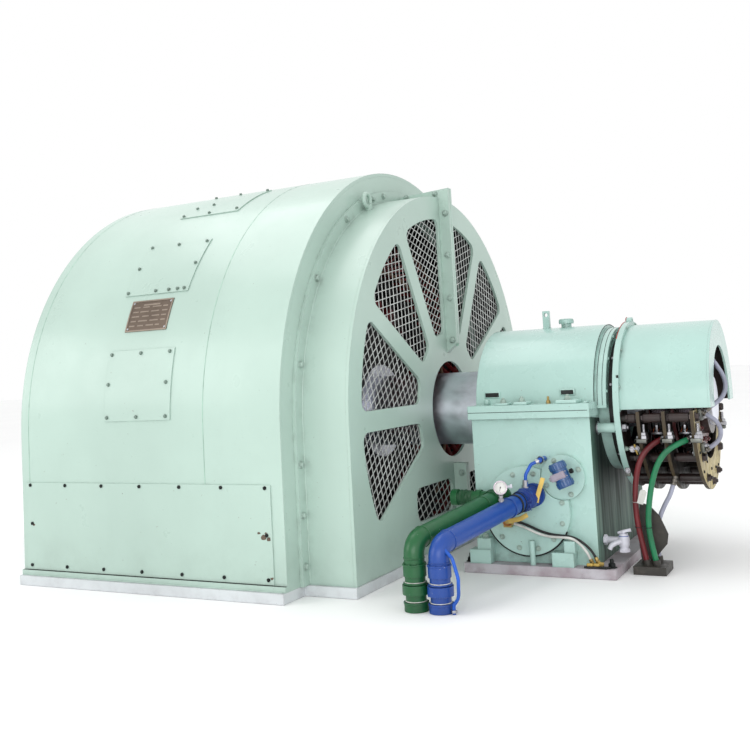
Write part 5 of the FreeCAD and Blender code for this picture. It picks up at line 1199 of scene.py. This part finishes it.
for s in (-1, 1):
    for h in (0.0085, -0.0085):
        capscrew(gl, mid + AX * h + side * (-0.027 * s) + Vector((0, -0.0285, 0)), (0, -1, 0), 0.0022, 0.0018)
piece("transmitter_fittings", gl, M["bolt_bright"])
disc(dk, 0.0085, 0.033, 0.045, 16, mid, -side)
piece("transmitter_plug", dk, M["bolt_dark"])

GP = W(425.6, -619.0, -326.1)
gd = Vector((0.25, -1.0, 0.1)).normalized()
gb = GP + Vector((-0.002, 0.015, 0.080))
gm, gdial, gpt, gfit = Mesh(), Mesh(), Mesh(), Mesh()
lathe(gm, [(0.010, 0.0), (0.0215, 0.0010), (0.0225, 0.0030), (0.0225, 0.0230), (0.0240, 0.0240), (0.0240, 0.0290), (0.0232, 0.0300), (0.0205, 0.0300), (0.0200, 0.0262)], 48, gb, gd, close=False)
gu, gv, gw = basis(gd)
piece("gauge_case", gm, M["gauge"], replaces=["pressure_gauge"])
lathe(gdial, [(0.0204, 0.0250), (0.0204, 0.0262), (0.0004, 0.0262)], 48, gb, gd)
piece("gauge_dial", gdial, M["dial"])
for k in range(25):
    t = math.radians(-45 + 270 * k / 24)
    d = gv * (-math.cos(t)) * -1 + gu * math.sin(t)
    L = 0.0030 if k % 4 == 0 else 0.0016
    a = gb + gw * 0.0264
    sweep_tube(gpt, [a + d * (0.0185 - L), a + d * 0.0185], 0.00025 if k % 4 else 0.0004, 4)
t = math.radians(200)
nd = gv * math.cos(t) + gu * math.sin(t)
sweep_tube(gpt, [gb + gw * 0.0268 - nd * 0.005, gb + gw * 0.0268 + nd * 0.0140], [0.0007, 0.0003], 5)
disc(gpt, 0.0022, 0.0264, 0.0280, 12, gb, gd, 0.0003)
piece("gauge_marks", gpt, M["black"])
disc(gfit, 0.0070, 0.0, 0.024, 16, GP + Vector((0, 0, 0.030)), (0, 0, 1))
hexbolt(gfit, GP + Vector((0, 0, 0.036)), (0, 0, 1), 0.017, 0.009, 0.0, rnd)
hexbolt(gfit, GP + Vector((0, 0, 0.050)), (0, 0, 1), 0.014, 0.006, 0.0, rnd)
piece("gauge_stem", gfit, M["bolt_bright"])
kn = Mesh()
knb = gb + gw * 0.014 + gu * 0.0
kx = Vector((0.92, 0.28, 0.10)).normalized()
disc(kn, 0.0040, 0.022, 0.034, 12, knb, kx)
knuckle(kn, knb + kx * 0.032, kx, 0.0062, 0.0070, 12, 0.007)
piece("gauge_cock_knob", kn, M["valve"])

vb = W(760, -300, -470)
vm, vr, vs2 = Mesh(), Mesh(), Mesh()
disc(vm, 0.0125, -0.072, 0.0, 20, vb, (1, 0, 0))
hexbolt(vm, W(691, -300, -470), (1, 0, 0), 0.032, 0.012, 0.0, rnd)
lathe(vm, [(0.0130, -0.040), (0.0168, -0.039), (0.0168, -0.028), (0.0150, -0.026), (0.0190, -0.016), (0.0208, 0.0), (0.0190, 0.014), (0.0150, 0.020), (0.0150, 0.024)], 32, vb, (0, 0, 1))
hexbolt(vm, vb - Vector((0, 0, 0.040)), (0, 0, 1), 0.036, 0.012, 0.0, rnd)
sp = [vb + Vector(p) for p in ((-0.008, -0.012, -0.002), (-0.024, -0.020, -0.006), (-0.040, -0.025, -0.016), (-0.046, -0.0265, -0.028))]
sweep_tube(vm, sp, [0.0105, 0.0095, 0.0090, 0.0092], 14)
disc(vm, 0.0075, 0.024, 0.034, 16, vb, (0, 0, 1))
hd = Vector((0.86, 0.10, 0.30)).normalized()
sweep_tube(vm, [vb + Vector((-0.020, -0.002, 0.026)), vb + Vector((0, 0, 0.031)), vb + Vector((0.014, 0.001, 0.0345)), vb + Vector((0.0265, 0.003, 0.0365))], [0.0042, 0.0062, 0.0058, 0.0064], 12, True)
piece("drain_valve_body", vm, M["valve"], replaces=["drain_valve"], sharp=45)
ring(vr, 0.0145, 0.0185, 0.012, 0.017, 32, vb, (0, 0, 1))
piece("drain_valve_ring", vr, M["valve_blue"])

# ---------------------------------------------------------------- pipe fittings
un_b, un_g, wear, rough_b = Mesh(), Mesh(), Mesh(), Mesh()
for m, lx in ((un_b, 345), (un_g, 259)):
    at = W(lx, -985, -580)
    hexbolt(m, at + Vector((0, 0, 0.0535)), (0, 0, 1), 0.0735, 0.027, 0.0, rnd)
    ring(m, 0.0325, 0.0405, 0.022, 0.029, 40, at, (0, 0, 1))
    ring(m, 0.0325, 0.0385, 0.084, 0.089, 40, at, (0, 0, 1))
    ring(m, 0.0325, 0.0390, 0.1415, 0.1460, 40, at, (0, 0, 1))
    for k in range(8):
        t = math.pi * k / 4
        hexbolt(m, at + Vector((0.0355 * math.cos(t), 0.0355 * math.sin(t), 0.1460)), (0, 0, 1), 0.006, 0.003, 0.0, rnd)
    bead(wear, [at + Vector((0.0338 * math.cos(t), 0.0338 * math.sin(t), 0.0905)) for t in np.linspace(0, 2 * math.pi, 30)], 0.0014, lx)
    bead(wear, [at + Vector((0.0338 * math.cos(t), 0.0338 * math.sin(t), 0.0315)) for t in np.linspace(0, 2 * math.pi, 30)], 0.0014, lx + 1)


def pipe_dir(p, q):
    p, q = Vector(p) / 1000, Vector(q) / 1000
    return (q - p).normalized(), (q - p).length


BD, BL = pipe_dir((345, -985, 206), (473, -404, 282))
GD, GL = pipe_dir((259, -985, 216), (350, -404, 275))
BA, GA = W(345, -985, -374), W(259, -985, -364)


def collar(m, at, d, h, r, wide, seed=None):
    ring(m, 0.0320, r, h, h + wide, 40, at, d, 0.0015)


# weld beads where the elbows start and stop
for m, A, D, seed in ((un_b, BA, BD, 41), (un_g, GA, GD, 43)):
    u, v, w = basis(D)
    for h in (0.052,):
        bead(m, [A + D * h + (u * math.cos(t) + v * math.sin(t)) * 0.0333 for t in np.linspace(0, 2 * math.pi, 34)], 0.0022, seed)
    bead(m, [Vector((A.x, A.y, 0)) + Vector((0.0333 * math.cos(t), 0.0333 * math.sin(t), A.z - 0.052)) for t in np.linspace(0, 2 * math.pi, 34)], 0.0022, seed + 1)
collar(un_b, BA, BD, BL - 0.180, 0.0362, 0.007)
collar(un_g, GA, GD, GL - 0.150, 0.0355, 0.007)
piece("inlet_unions", un_b, M["blue"], sharp=45)
piece("outlet_unions", un_g, M["green"], sharp=45)
piece("pipe_thread_sealant", wear, M["white"], sharp=60)


def wrapped(m, A, D, h0, h1, r, turns, seed, n=26):
    """Paint-soaked tape and lumps of thread sealant wound round a pipe."""
    q = random.Random(seed)
    u, v, w = basis(D)
    rows, cols = 22, n
    verts, faces = [], []
    for i in range(rows + 1):
        f = i / rows
        for k in range(cols):
            t = 2 * math.pi * k / cols
            lump = 0.0016 * math.sin(3 * t + 9 * f) + 0.0012 * math.sin(7 * t - 14 * f) + q.uniform(-0.0009, 0.0012)
            e = 0.0018 * abs(math.sin(math.pi * (f * turns + t / (2 * math.pi))))
            rr = r + (lump + e) * min(1.0, 6 * f, 6 * (1 - f))
            verts.append(A + D * (h0 + (h1 - h0) * f) + (u * math.cos(t) + v * math.sin(t)) * rr)
    for i in range(rows):
        for k in range(cols):
            a, b = i * cols + k, i * cols + (k + 1) % cols
            faces.append((a, b, b + cols, a + cols))
    return m.add(verts, faces)


wrapped(rough_b, BA, BD, BL - 0.098, BL - 0.012, 0.0378, 6, 5)
M["blue_rough"] = paint("pipe_blue_soaked", (0.025, 0.170, 0.48), rough=(0.35, 0.6), wave=0.002, wave_scale=60.0, coat=0.15, corner_dirt_and_shade=0.7, foot=0.2, edge=0.3, radius=0.001, dirt_and_shade_c=(0.05, 0.07, 0.11), primer=(0.4, 0.45, 0.55), chips=0.1)
piece("inlet_coupling_wrap", rough_b, M["blue_rough"], sharp=70)
rough_g = Mesh()
wrapped(rough_g, GA, GD, GL - 0.088, GL - 0.030, 0.0368, 5, 6)
wrapped(rough_g, W(188, -430, -308), Vector((1, 0, 0)), 0.0, 0.060, 0.0252, 5, 8)
M["green_rough"] = paint("pipe_green_soaked", (0.025, 0.26, 0.125), rough=(0.4, 0.65), wave=0.002, wave_scale=60.0, coat=0.1, corner_dirt_and_shade=0.7, foot=0.2, edge=0.3, radius=0.001, dirt_and_shade_c=(0.05, 0.09, 0.06), primer=(0.4, 0.5, 0.44), chips=0.1)
piece("outlet_coupling_wrap", rough_g, M["green_rough"], sharp=70)
# a cable tie round the inlet, hemp that stands out of its joints, and a clamp
tie, hemp, clamp, amber, strands = Mesh(), Mesh(), Mesh(), Mesh(), Mesh()
u, v, w = basis(BD)
tc = BA + BD * (BL - 0.112)
sweep_tube(tie, [tc + BD * 0.004 * math.sin(t) + (u * math.cos(t) + v * math.sin(t)) * 0.0350 for t in np.linspace(0, 2 * math.pi, 40)], 0.0018, 6)
rbox(tie, tc + u * 0.034 + Vector((-0.004, -0.004, 0)), tc + u * 0.034 + Vector((0.004, 0.004, 0.006)), 0.001, 1)
piece("inlet_cable_tie", tie, M["black"])
q = random.Random(12)
for base_h, cnt, spread in ((BL - 0.020, 16, 0.9), (BL - 0.100, 14, 1.2)):
    for _ in range(cnt):
        t = q.uniform(-0.6, 0.6) + (0.3 if base_h > BL - 0.05 else math.pi + 0.2)
        rad = (u * math.cos(t) + v * math.sin(t))
        p0 = BA + BD * (base_h + q.uniform(-0.006, 0.006)) + rad * 0.037
        p1 = p0 + rad * q.uniform(0.002, 0.006) + BD * q.uniform(-0.012, 0.012) + u.cross(w) * q.uniform(-0.012, 0.012)
        p2 = p1 + Vector((q.uniform(-0.010, 0.010), q.uniform(-0.004, 0.004), q.uniform(-0.012, 0.010))) * spread
        sweep_tube(strands, [p0, p1, p2], [0.0018, 0.0016, 0.0006], 5)
# a flat rag of yellow tape over the joint's top
fl = W(512, -452, -276)
sweep_tube(hemp, [fl + Vector(p) for p in ((-0.016, 0.0, -0.042), (-0.009, -0.005, -0.020), (0.002, -0.004, 0.010), (0.013, 0.002, 0.044))], 0.0, 8, True, (0.0082, 0.0014, (0, 1, 0)))
fl = W(432, -470, -372)
sweep_tube(hemp, [fl + Vector(p) for p in ((-0.040, 0.004, -0.014), (-0.016, -0.002, -0.008), (0.008, -0.004, -0.002), (0.034, 0.0, 0.012))], 0.0, 8, True, (0.0082, 0.0014, (0, 1, 0)))
M["tape"] = rubber("joint_tape_yellow", (0.86, 0.73, 0.38), rough=(0.4, 0.6), dust=0.3, dust_c=(0.62, 0.46, 0.22))
piece("inlet_joint_tapes", hemp, M["tape"], sharp=60)
piece("inlet_paint_strands", strands, M["blue_rough"], sharp=60)
ring(amber, 0.0100, 0.0200, -0.006, 0.006, 30, W(372, -418, -392), (0, -1, 0))
ring(clamp, 0.0330, 0.0362, -0.004, 0.005, 40, BA + BD * (BL - 0.135), BD)
piece("inlet_strap", clamp, M["black"])
piece("inlet_gasket_rings", amber, M["orange"])
# oil level hose: ferrules at both ends
fer = Mesh()
disc(fer, 0.0100, 0.0, 0.026, 20, W(457.5, -450, -266), (0.06, 0, 1))
hexbolt(fer, W(457, -450, -274), (0.06, 0, 1), 0.0245, 0.011, 0.0, rnd)
hexbolt(fer, W(513, -431, -171), (0, 1, 0), 0.0245, 0.009, 0.0, rnd)
disc(fer, 0.0100, 0.0, 0.022, 20, W(496, -431, -179), Vector((29, 11, 13)).normalized())
hexbolt(fer, W(393, -999, -575), (0, 0, 1), 0.017, 0.008, 0.0, rnd)
piece("hose_ferrules", fer, M["bolt_bright"])

# sensor leads' glands: nut, clamp and taped bundle on the sole
gn, tape = Mesh(), Mesh()
l1, l2 = [Vector(W(*p)) for p in LEAD1], [Vector(W(*p)) for p in LEAD2]
for pts in (l1, l2):
    d = (pts[-2] - pts[-1]).normalized()
    hexbolt(gn, pts[-1] - d * 0.004, d, 0.015, 0.008, 0.0, rnd)
    disc(gn, 0.0070, 0.004, 0.016, 16, pts[-1], d)
    d0 = (pts[1] - pts[0]).normalized()
    hexbolt(gn, pts[0] - d0 * 0.006, d0, 0.014, 0.007, 0.0, rnd)
piece("lead_gland_nuts", gn, M["brass"])
for i, c in enumerate(((690, -430, -533), (668, -433, -533), (704, -421, -530))):
    rbox(tape, W(c[0] - 11, c[1] - 5, c[2] - 6), W(c[0] + 11, c[1] + 6, c[2] + 5), 0.004, 3)
piece("lead_tape", tape, M["yellow"], sharp=60)
box2 = Mesh()
rbox(box2, W(657, -432, -545.5), W(712, -402, -541), 0.002, 2)
bead(box2, [W(v, -436 + 3 * math.sin(v / 9.0), -541) for v in range(650, 730, 6)], 0.0040, 77)
bead(box2, [W(v, -428 - 2 * math.sin(v / 7.0), -542) for v in range(655, 744, 6)], 0.0045, 78)
piece("lead_bundle", box2, M["black"], sharp=60)

# ---------------------------------------------------------------- brush gear
PLX = (838.0, 926.0, 1022.0)
hold, carb, spring, pig = Mesh(), Mesh(), Mesh(), Mesh()
for x in (860.0, 958.0):
    for deg in (200.0, 232.0, 308.0, 340.0):
        t = math.radians(deg)
        out = Vector((0, math.cos(t), math.sin(t)))
        tang = Vector((0, -math.sin(t), math.cos(t)))
        mt = Matrix((Vector((1, 0, 0)), tang, out)).transposed().to_4x4()
        mt = Matrix.Translation(W(x + 3, 0, 0)) @ mt
        # two cheeks, a back and a bridge; the carbon slides between them
        rbox(hold, (0.000, -0.022, 0.178), (0.004, 0.022, 0.232), 0.0008, 1, mt)
        rbox(hold, (0.042, -0.022, 0.178), (0.046, 0.022, 0.232), 0.0008, 1, mt)
        rbox(hold, (0.004, -0.022, 0.178), (0.042, -0.018, 0.220), 0.0008, 1, mt)
        rbox(hold, (0.004, 0.018, 0.178), (0.042, 0.022, 0.220), 0.0008, 1, mt)
        rbox(hold, (0.018, -0.020, 0.226), (0.028, 0.022, 0.232), 0.0008, 1, mt)
        rbox(carb, (0.007, -0.016, 0.1712), (0.039, 0.016, 0.222), 0.0010, 1, mt)
        arc = [mt @ Vector((0.023, 0.020 - 0.034 * math.sin(k / 8 * math.pi / 2), 0.236 - 0.012 * (k / 8) ** 2)) for k in range(9)]
        sweep_tube(spring, arc, 0.0, 8, True, (0.0050, 0.0008, tuple(out)))
        disc(spring, 0.0060, 0.002, 0.044, 18, mt @ Vector((0, 0.021, 0.234)), (1, 0, 0))
        capscrew(spring, mt @ Vector((0.023, -0.022, 0.200)), -tang, 0.0042, 0.003)
        for dx in (0.014, 0.032):
            pts = [mt @ Vector((dx, 0.0, 0.2215)), mt @ Vector((dx, 0.004, 0.234)), mt @ Vector((dx - 0.004, 0.014, 0.238)), mt @ Vector((dx - 0.008, 0.024, 0.232)), mt @ Vector((dx - 0.010, 0.025, 0.216))]
            sweep_tube(pig, pts, 0.0016, 6)
M["carbon"] = rubber("carbon_brush", (0.075, 0.075, 0.082), rough=(0.35, 0.55), dust=0.3, dust_c=(0.16, 0.15, 0.15))
M["copper"] = steel("pigtail_copper", (0.62, 0.34, 0.22), rough=(0.35, 0.5), grime=0.45, scale=500.0)
M["holder_d"] = steel("holder_metal_sooty", (0.36, 0.33, 0.33), rough=(0.3, 0.5), grime=0.6, scale=300.0)
piece("brush_holder_frames", hold, M["holder_d"], replaces=["brush_holders"], sharp=40)
piece("carbon_brushes", carb, M["carbon"], sharp=40)
piece("brush_springs", spring, M["bolt_bright"], sharp=50)
piece("brush_pigtails", pig, M["copper"], sharp=60)

# insulating end disc on the rotor, and the grooves turned in the slip rings
ins, grv = Mesh(), Mesh()
ring(ins, 0.1205, 0.1690, 0.0, 0.005, 72, W(1011, 0, 0), (1, 0, 0), 0.001)
ring(ins, 0.1205, 0.1690, 0.0, 0.005, 72, W(851, 0, 0), (1, 0, 0), 0.001)
ring(ins, 0.1205, 0.1690, 0.0, 0.012, 72, W(929, 0, 0), (1, 0, 0), 0.001)
for k in range(12):
    t = math.radians(30 * k + 10)
    hexbolt(ins, W(1016, 145 * math.cos(t), 145 * math.sin(t)), (1, 0, 0), 0.016, 0.010, 0.011, rnd, 0.004)
M["maroon"] = rubber("insulation_maroon", (0.33, 0.085, 0.095), rough=(0.28, 0.45), dust=0.35, dust_c=(0.14, 0.09, 0.09), coat=0.3)
piece("slip_ring_insulation", ins, M["maroon"], body=ROTOR)
for x in (862.0, 960.0):
    for k in range(1, 8):
        ring(grv, 0.1696, 0.17035, 0.0, 0.0016, 96, W(x + 6 * k, 0, 0), (1, 0, 0), 0.0003)
piece("slip_ring_grooves", grv, M["slip"], body=ROTOR)

# dark shields between the plates on the far side and underneath, painted shade for the gaps, and insulating tubes on
# the ties
sh = Mesh()
for xa, xb in ((781.0, 837.5), (850.5, 925.5), (938.5, 1021.5)):
    rows = []
    angs = np.radians(np.linspace(-82, -174, 24))
    verts, faces = [], []
    for r in (0.2430, 0.2450):
        for t in angs:
            for x in (xa, xb):
                verts.append((PX + x / 1000, -r * math.cos(t), H + r * math.sin(t)))
    n = len(angs)
    for i in range(n - 1):
        a = 2 * i
        faces += [(a, a + 1, a + 3, a + 2), (2 * n + a, 2 * n + a + 2, 2 * n + a + 3, 2 * n + a + 1)]
        faces += [(a, a + 2, 2 * n + a + 2, 2 * n + a), (a + 1, 2 * n + a + 1, 2 * n + a + 3, a + 3)]
    faces += [(0, 2 * n, 2 * n + 1, 1), (2 * n - 2, 2 * n - 1, 4 * n - 1, 4 * n - 2)]
    sh.add(verts, faces)
piece("brush_gap_shade_shields", sh, M["board_dark"])
tubes, tn = Mesh(), Mesh()
for y, z in ((-290, -40), (290, -40), (-197, -188), (197, -188)):
    for xa, xb in ((796, 838), (850, 926), (938, 1022)):
        ring(tubes, 0.0121, 0.0165, 0.0, (xb - xa - 16) / 1000, 24, W(xa + 8, y, z), (1, 0, 0))
        hexbolt(tn, W(xa + 0.2, y, z), (1, 0, 0), 0.026, 0.008, 0.0, rnd)
        hexbolt(tn, W(xb - 0.2, y, z), (-1, 0, 0), 0.026, 0.008, 0.0, rnd)
    hexbolt(tn, W(1034, y, z), (1, 0, 0), 0.026, 0.012, 0.018, rnd)
for y, z in ((-120, -270), (0, -296), (120, -270)):
    for xa, xb in ((781, 837.5), (850.5, 925.5), (938.5, 1021.5)):
        disc(tubes, 0.0150, 0.0, (xb - xa) / 1000, 24, W(xa, y, z), (1, 0, 0))
    for x in PLX[2:]:
        hexbolt(tn, W(x + 12, y, z), (1, 0, 0), 0.022, 0.011, 0.016, rnd, 0.005)
M["tube"] = rubber("insulating_tube", (0.15, 0.085, 0.075), rough=(0.35, 0.55), dust=0.45, dust_c=(0.22, 0.18, 0.16), coat=0.2)
piece("tie_insulating_tubes", tubes, M["tube"])
piece("tie_nuts", tn, M["holder_d"])
# copper ring segments (bus bars) on the two inner plates, dark with dust, and fixings on the outer one
bus, fix = Mesh(), Mesh()
for x in (838.0, 926.0):
    a = np.radians(np.linspace(-12, -168, 30))
    pts = [W(x - 3.2, -262 * math.cos(t), 262 * math.sin(t)) for t in a]
    sweep_tube(bus, pts, 0.0, 4, True, (0.012, 0.0028, (1, 0, 0)))
piece("collector_bus_bars", bus, M["holder_d"], sharp=40)
q = random.Random(8)
for a, r in ((-22, 240), (-34, 300), (-41, 262), (-52, 306), (-63, 240), (-74, 286), (-86, 250), (-97, 306), (-108, 268), (-121, 296), (-134, 244), (-148, 300), (-160, 262)):
    t = math.radians(a)
    capscrew(fix, W(1034, -r * math.cos(t), r * math.sin(t)), (1, 0, 0), 0.0052, 0.004)
piece("outer_plate_screws", fix, M["bolt_dark"])


# ---------------------------------------------------------------- terminals: clamp blocks, studs, nuts, lugs and barrels
blk, stu, lug, ylw = Mesh(), Mesh(), Mesh(), Mesh()


def barrel(m, at, towards, r, length, crimps=2):
    """A crimped barrel that holds a cable's end."""
    at, to = W(*at), W(*towards)
    d = (to - at).normalized()
    prof = [(r * 0.9, -length)]
    for k in range(crimps):
        h = -length + length * (k + 0.6) / (crimps + 0.6)
        prof += [(r, h - length * 0.13), (r * 0.86, h - length * 0.05), (r * 0.86, h + length * 0.05), (r, h + length * 0.13)]
    prof += [(r, -0.0008), (r * 0.93, 0.0)]
    return lathe(m, prof, 24, at, d)


for k, x in enumerate(PLX):
    for s in (-1, 1):
        yc = s * 265.0
        rbox(blk, W(x - 12, yc - 27, -128), W(x - 0.2, yc + 27, -110), 0.0020, 2)
        # a tab round the plate's edge, with the stud that takes the cable's lug
        ye = s * 311.0
        rbox(blk, W(x - 12, min(s * 284, s * 318), -126), W(x - 2, max(s * 284, s * 318), -112), 0.0020, 2)
        rbox(blk, W(x - 12, ye - 7, -126), W(x + 30, ye + 7, -112), 0.0020, 2)
        rbox(blk, W(x + 12.2, min(s * 288, s * 314), -128), W(x + 30, max(s * 288, s * 314), -116), 0.0020, 2)
        xs, ys = x + 19, s * 300.0
        disc(stu, 0.0062, 0.0, 0.054, 14, W(xs, ys, -115), (0, 0, 1))
        for h in range(8):
            ring(stu, 0.0060, 0.0067, 0.0, 0.0013, 14, W(xs, ys, -82 + 2.4 * h), (0, 0, 1), 0.0004)
        hexbolt(stu, W(xs, ys, -114), (0, 0, 1), 0.028, 0.013, 0.0165, rnd)
        hexbolt(stu, W(xs, ys, -99), (0, 0, 1), 0.024, 0.011, 0.0, rnd)
        for dy in (-21, 21):
            hexbolt(stu, W(x - 6, yc + dy, -110), (0, 0, 1), 0.011, 0.006, 0.0, rnd)
        # tie bar down to the plate, with its screw
        rbox(blk, W(x - 6, yc - 9, -176), W(x - 0.2, yc + 9, -126), 0.0015, 2)
        capscrew(stu, W(x - 6, yc, -166), (-1, 0, 0), 0.0055, 0.004)
barrel(lug, RED[0], RED[1], 0.0120, 0.022)
barrel(lug, GRN[0], GRN[1], 0.0120, 0.024)
barrel(lug, GRY[0], GRY[1], 0.0100, 0.034)
rbox(blk, W(1034.2, -248, -56), W(1050, -206, -14), 0.0025, 2)
barrel(lug, LOOP1[-1], LOOP1[-2], 0.0100, 0.030)
barrel(lug, LOOP2[0], LOOP2[1], 0.0100, 0.018)
rbox(blk, W(1034.2, -230, -170), W(1048, -188, -136), 0.0025, 2)
barrel(lug, LOOP2[-1], LOOP2[-2], 0.0100, 0.024)
rbox(blk, W(1048, -110, 206), W(1081.8, -80, 246), 0.0025, 2)
barrel(lug, LOOP1[0], LOOP1[1], 0.0100, 0.020)
for p, d in (((1050, -236, -24), (1, 0, 0)), ((1050, -214, -44), (1, 0, 0)), ((1048, -222, -144), (1, 0, 0)), ((1048, -197, -162), (1, 0, 0)), ((1066, -110, 236), (0, -1, 0))):
    hexbolt(stu, W(*p), d, 0.013, 0.008, 0.009, rnd, 0.006)
# small hardware that hangs from the carrier disc beside the first plate
rbox(blk, W(800, -292, -160), W(836, -280, -138), 0.002, 2)
hexbolt(stu, W(812, -292, -149), (0, -1, 0), 0.020, 0.009, 0.012, rnd, 0.008)
hexbolt(stu, W(828, -292, -146), (0, -1, 0), 0.013, 0.007, 0.009, rnd, 0.005)
rbox(blk, W(781, -300, -244), W(800, -290, -214), 0.002, 2)
hexbolt(stu, W(791, -300, -224), (0, -1, 0), 0.014, 0.008, 0.010, rnd, 0.006)
sweep_tube(ylw, [W(820, -294, -132), W(823, -297, -150), (W(829, -295, -168))], [0.0030, 0.0036, 0.0022], 8)
sweep_tube(ylw, [W(1060, -96, 214), W(1062, -100, 206), W(1062, -97, 199)], [0.0045, 0.0060, 0.0055], 10)
M["block"] = steel("terminal_block_metal", (0.46, 0.47, 0.45), rough=(0.3, 0.5), grime=0.5, scale=300.0)
piece("terminal_blocks", blk, M["block"], replaces=["brush_terminals"], sharp=45)
piece("terminal_studs", stu, M["bolt_bright"], sharp=40)
piece("terminal_lugs", lug, M["holder"], sharp=60)
piece("terminal_sleeves", ylw, M["yellow"], sharp=60)


# ---------------------------------------------------------------- ties and a blank tag on the cables
def on_cable(route, f):
    """A point of the order-3 curve through the route, and its direction. f runs from 0 to 1."""
    P = [W(*p) for p in route]
    n = len(P) - 2
    s = min(f * n, n - 1e-6)
    i = int(s)
    u = s - i
    a = P[0] if i == 0 else (P[i] + P[i + 1]) / 2
    b = P[i + 1]
    c = P[-1] if i == n - 1 else (P[i + 1] + P[i + 2]) / 2
    p = a * (1 - u) ** 2 + b * (2 * u * (1 - u)) + c * u * u
    d = ((b - a) * (1 - u) + (c - b) * u).normalized()
    return p, d


tag, thin, bt = Mesh(), Mesh(), Mesh()
pr, dr = on_cable(RED, 0.60)
pg, dg = on_cable(GRN, 0.60)
u, v, w = basis(dr)
sweep_tube(thin, [pr + (u * math.cos(t) + v * math.sin(t)) * 0.0112 for t in np.linspace(0, 2 * math.pi, 28)], 0.0008, 6)
c0 = pr + Vector((0.020, -0.012, 0.012))
sweep_tube(thin, [pr + Vector((0.010, -0.005, 0.004)), pr + Vector((0.014, -0.010, 0.010)), c0], 0.0007, 5)
slab(tag, [(-0.011, -0.026), (0.011, -0.026), (0.012, 0.018), (0.006, 0.025), (-0.006, 0.025), (-0.012, 0.018)], 0.0008, Matrix.Translation(c0 + Vector((0.006, 0.0, 0.008))) @ Matrix.Rotation(math.radians(78), 4, "X") @ Matrix.Rotation(math.radians(-16), 4, "Z"), 0.0002)
tagged = piece("red_cable_tag", tag, M["white"])
tied = piece("red_cable_tag_tie", thin, M["white"])
pr, dr = on_cable(RED, 0.80)
pg, dg = on_cable(GRN, 0.80)
mid = (pr + pg) / 2
ax = (pg - pr).normalized()
nrm = ax.cross(dr).normalized()
loop_pts = []
hw, rr = (pg - pr).length / 2, 0.0115
for t in np.linspace(0, 2 * math.pi, 40):
    c, s2 = math.cos(t), math.sin(t)
    loop_pts.append(mid + ax * (hw * (1 if c > 0 else -1) + rr * c) + nrm * rr * s2)
sweep_tube(bt, loop_pts, 0.0012, 6)
rbox(bt, mid + nrm * rr - Vector((0.003, 0.003, 0.003)), mid + nrm * rr + Vector((0.003, 0.003, 0.003)), 0.0006, 1)
paired = piece("red_green_cable_tie", bt, M["black"])
cable("red_cable", "cable_red", RED, 0.020, M["c_red"])
cable("green_cable", "cable_green", GRN, 0.020, M["c_green"])
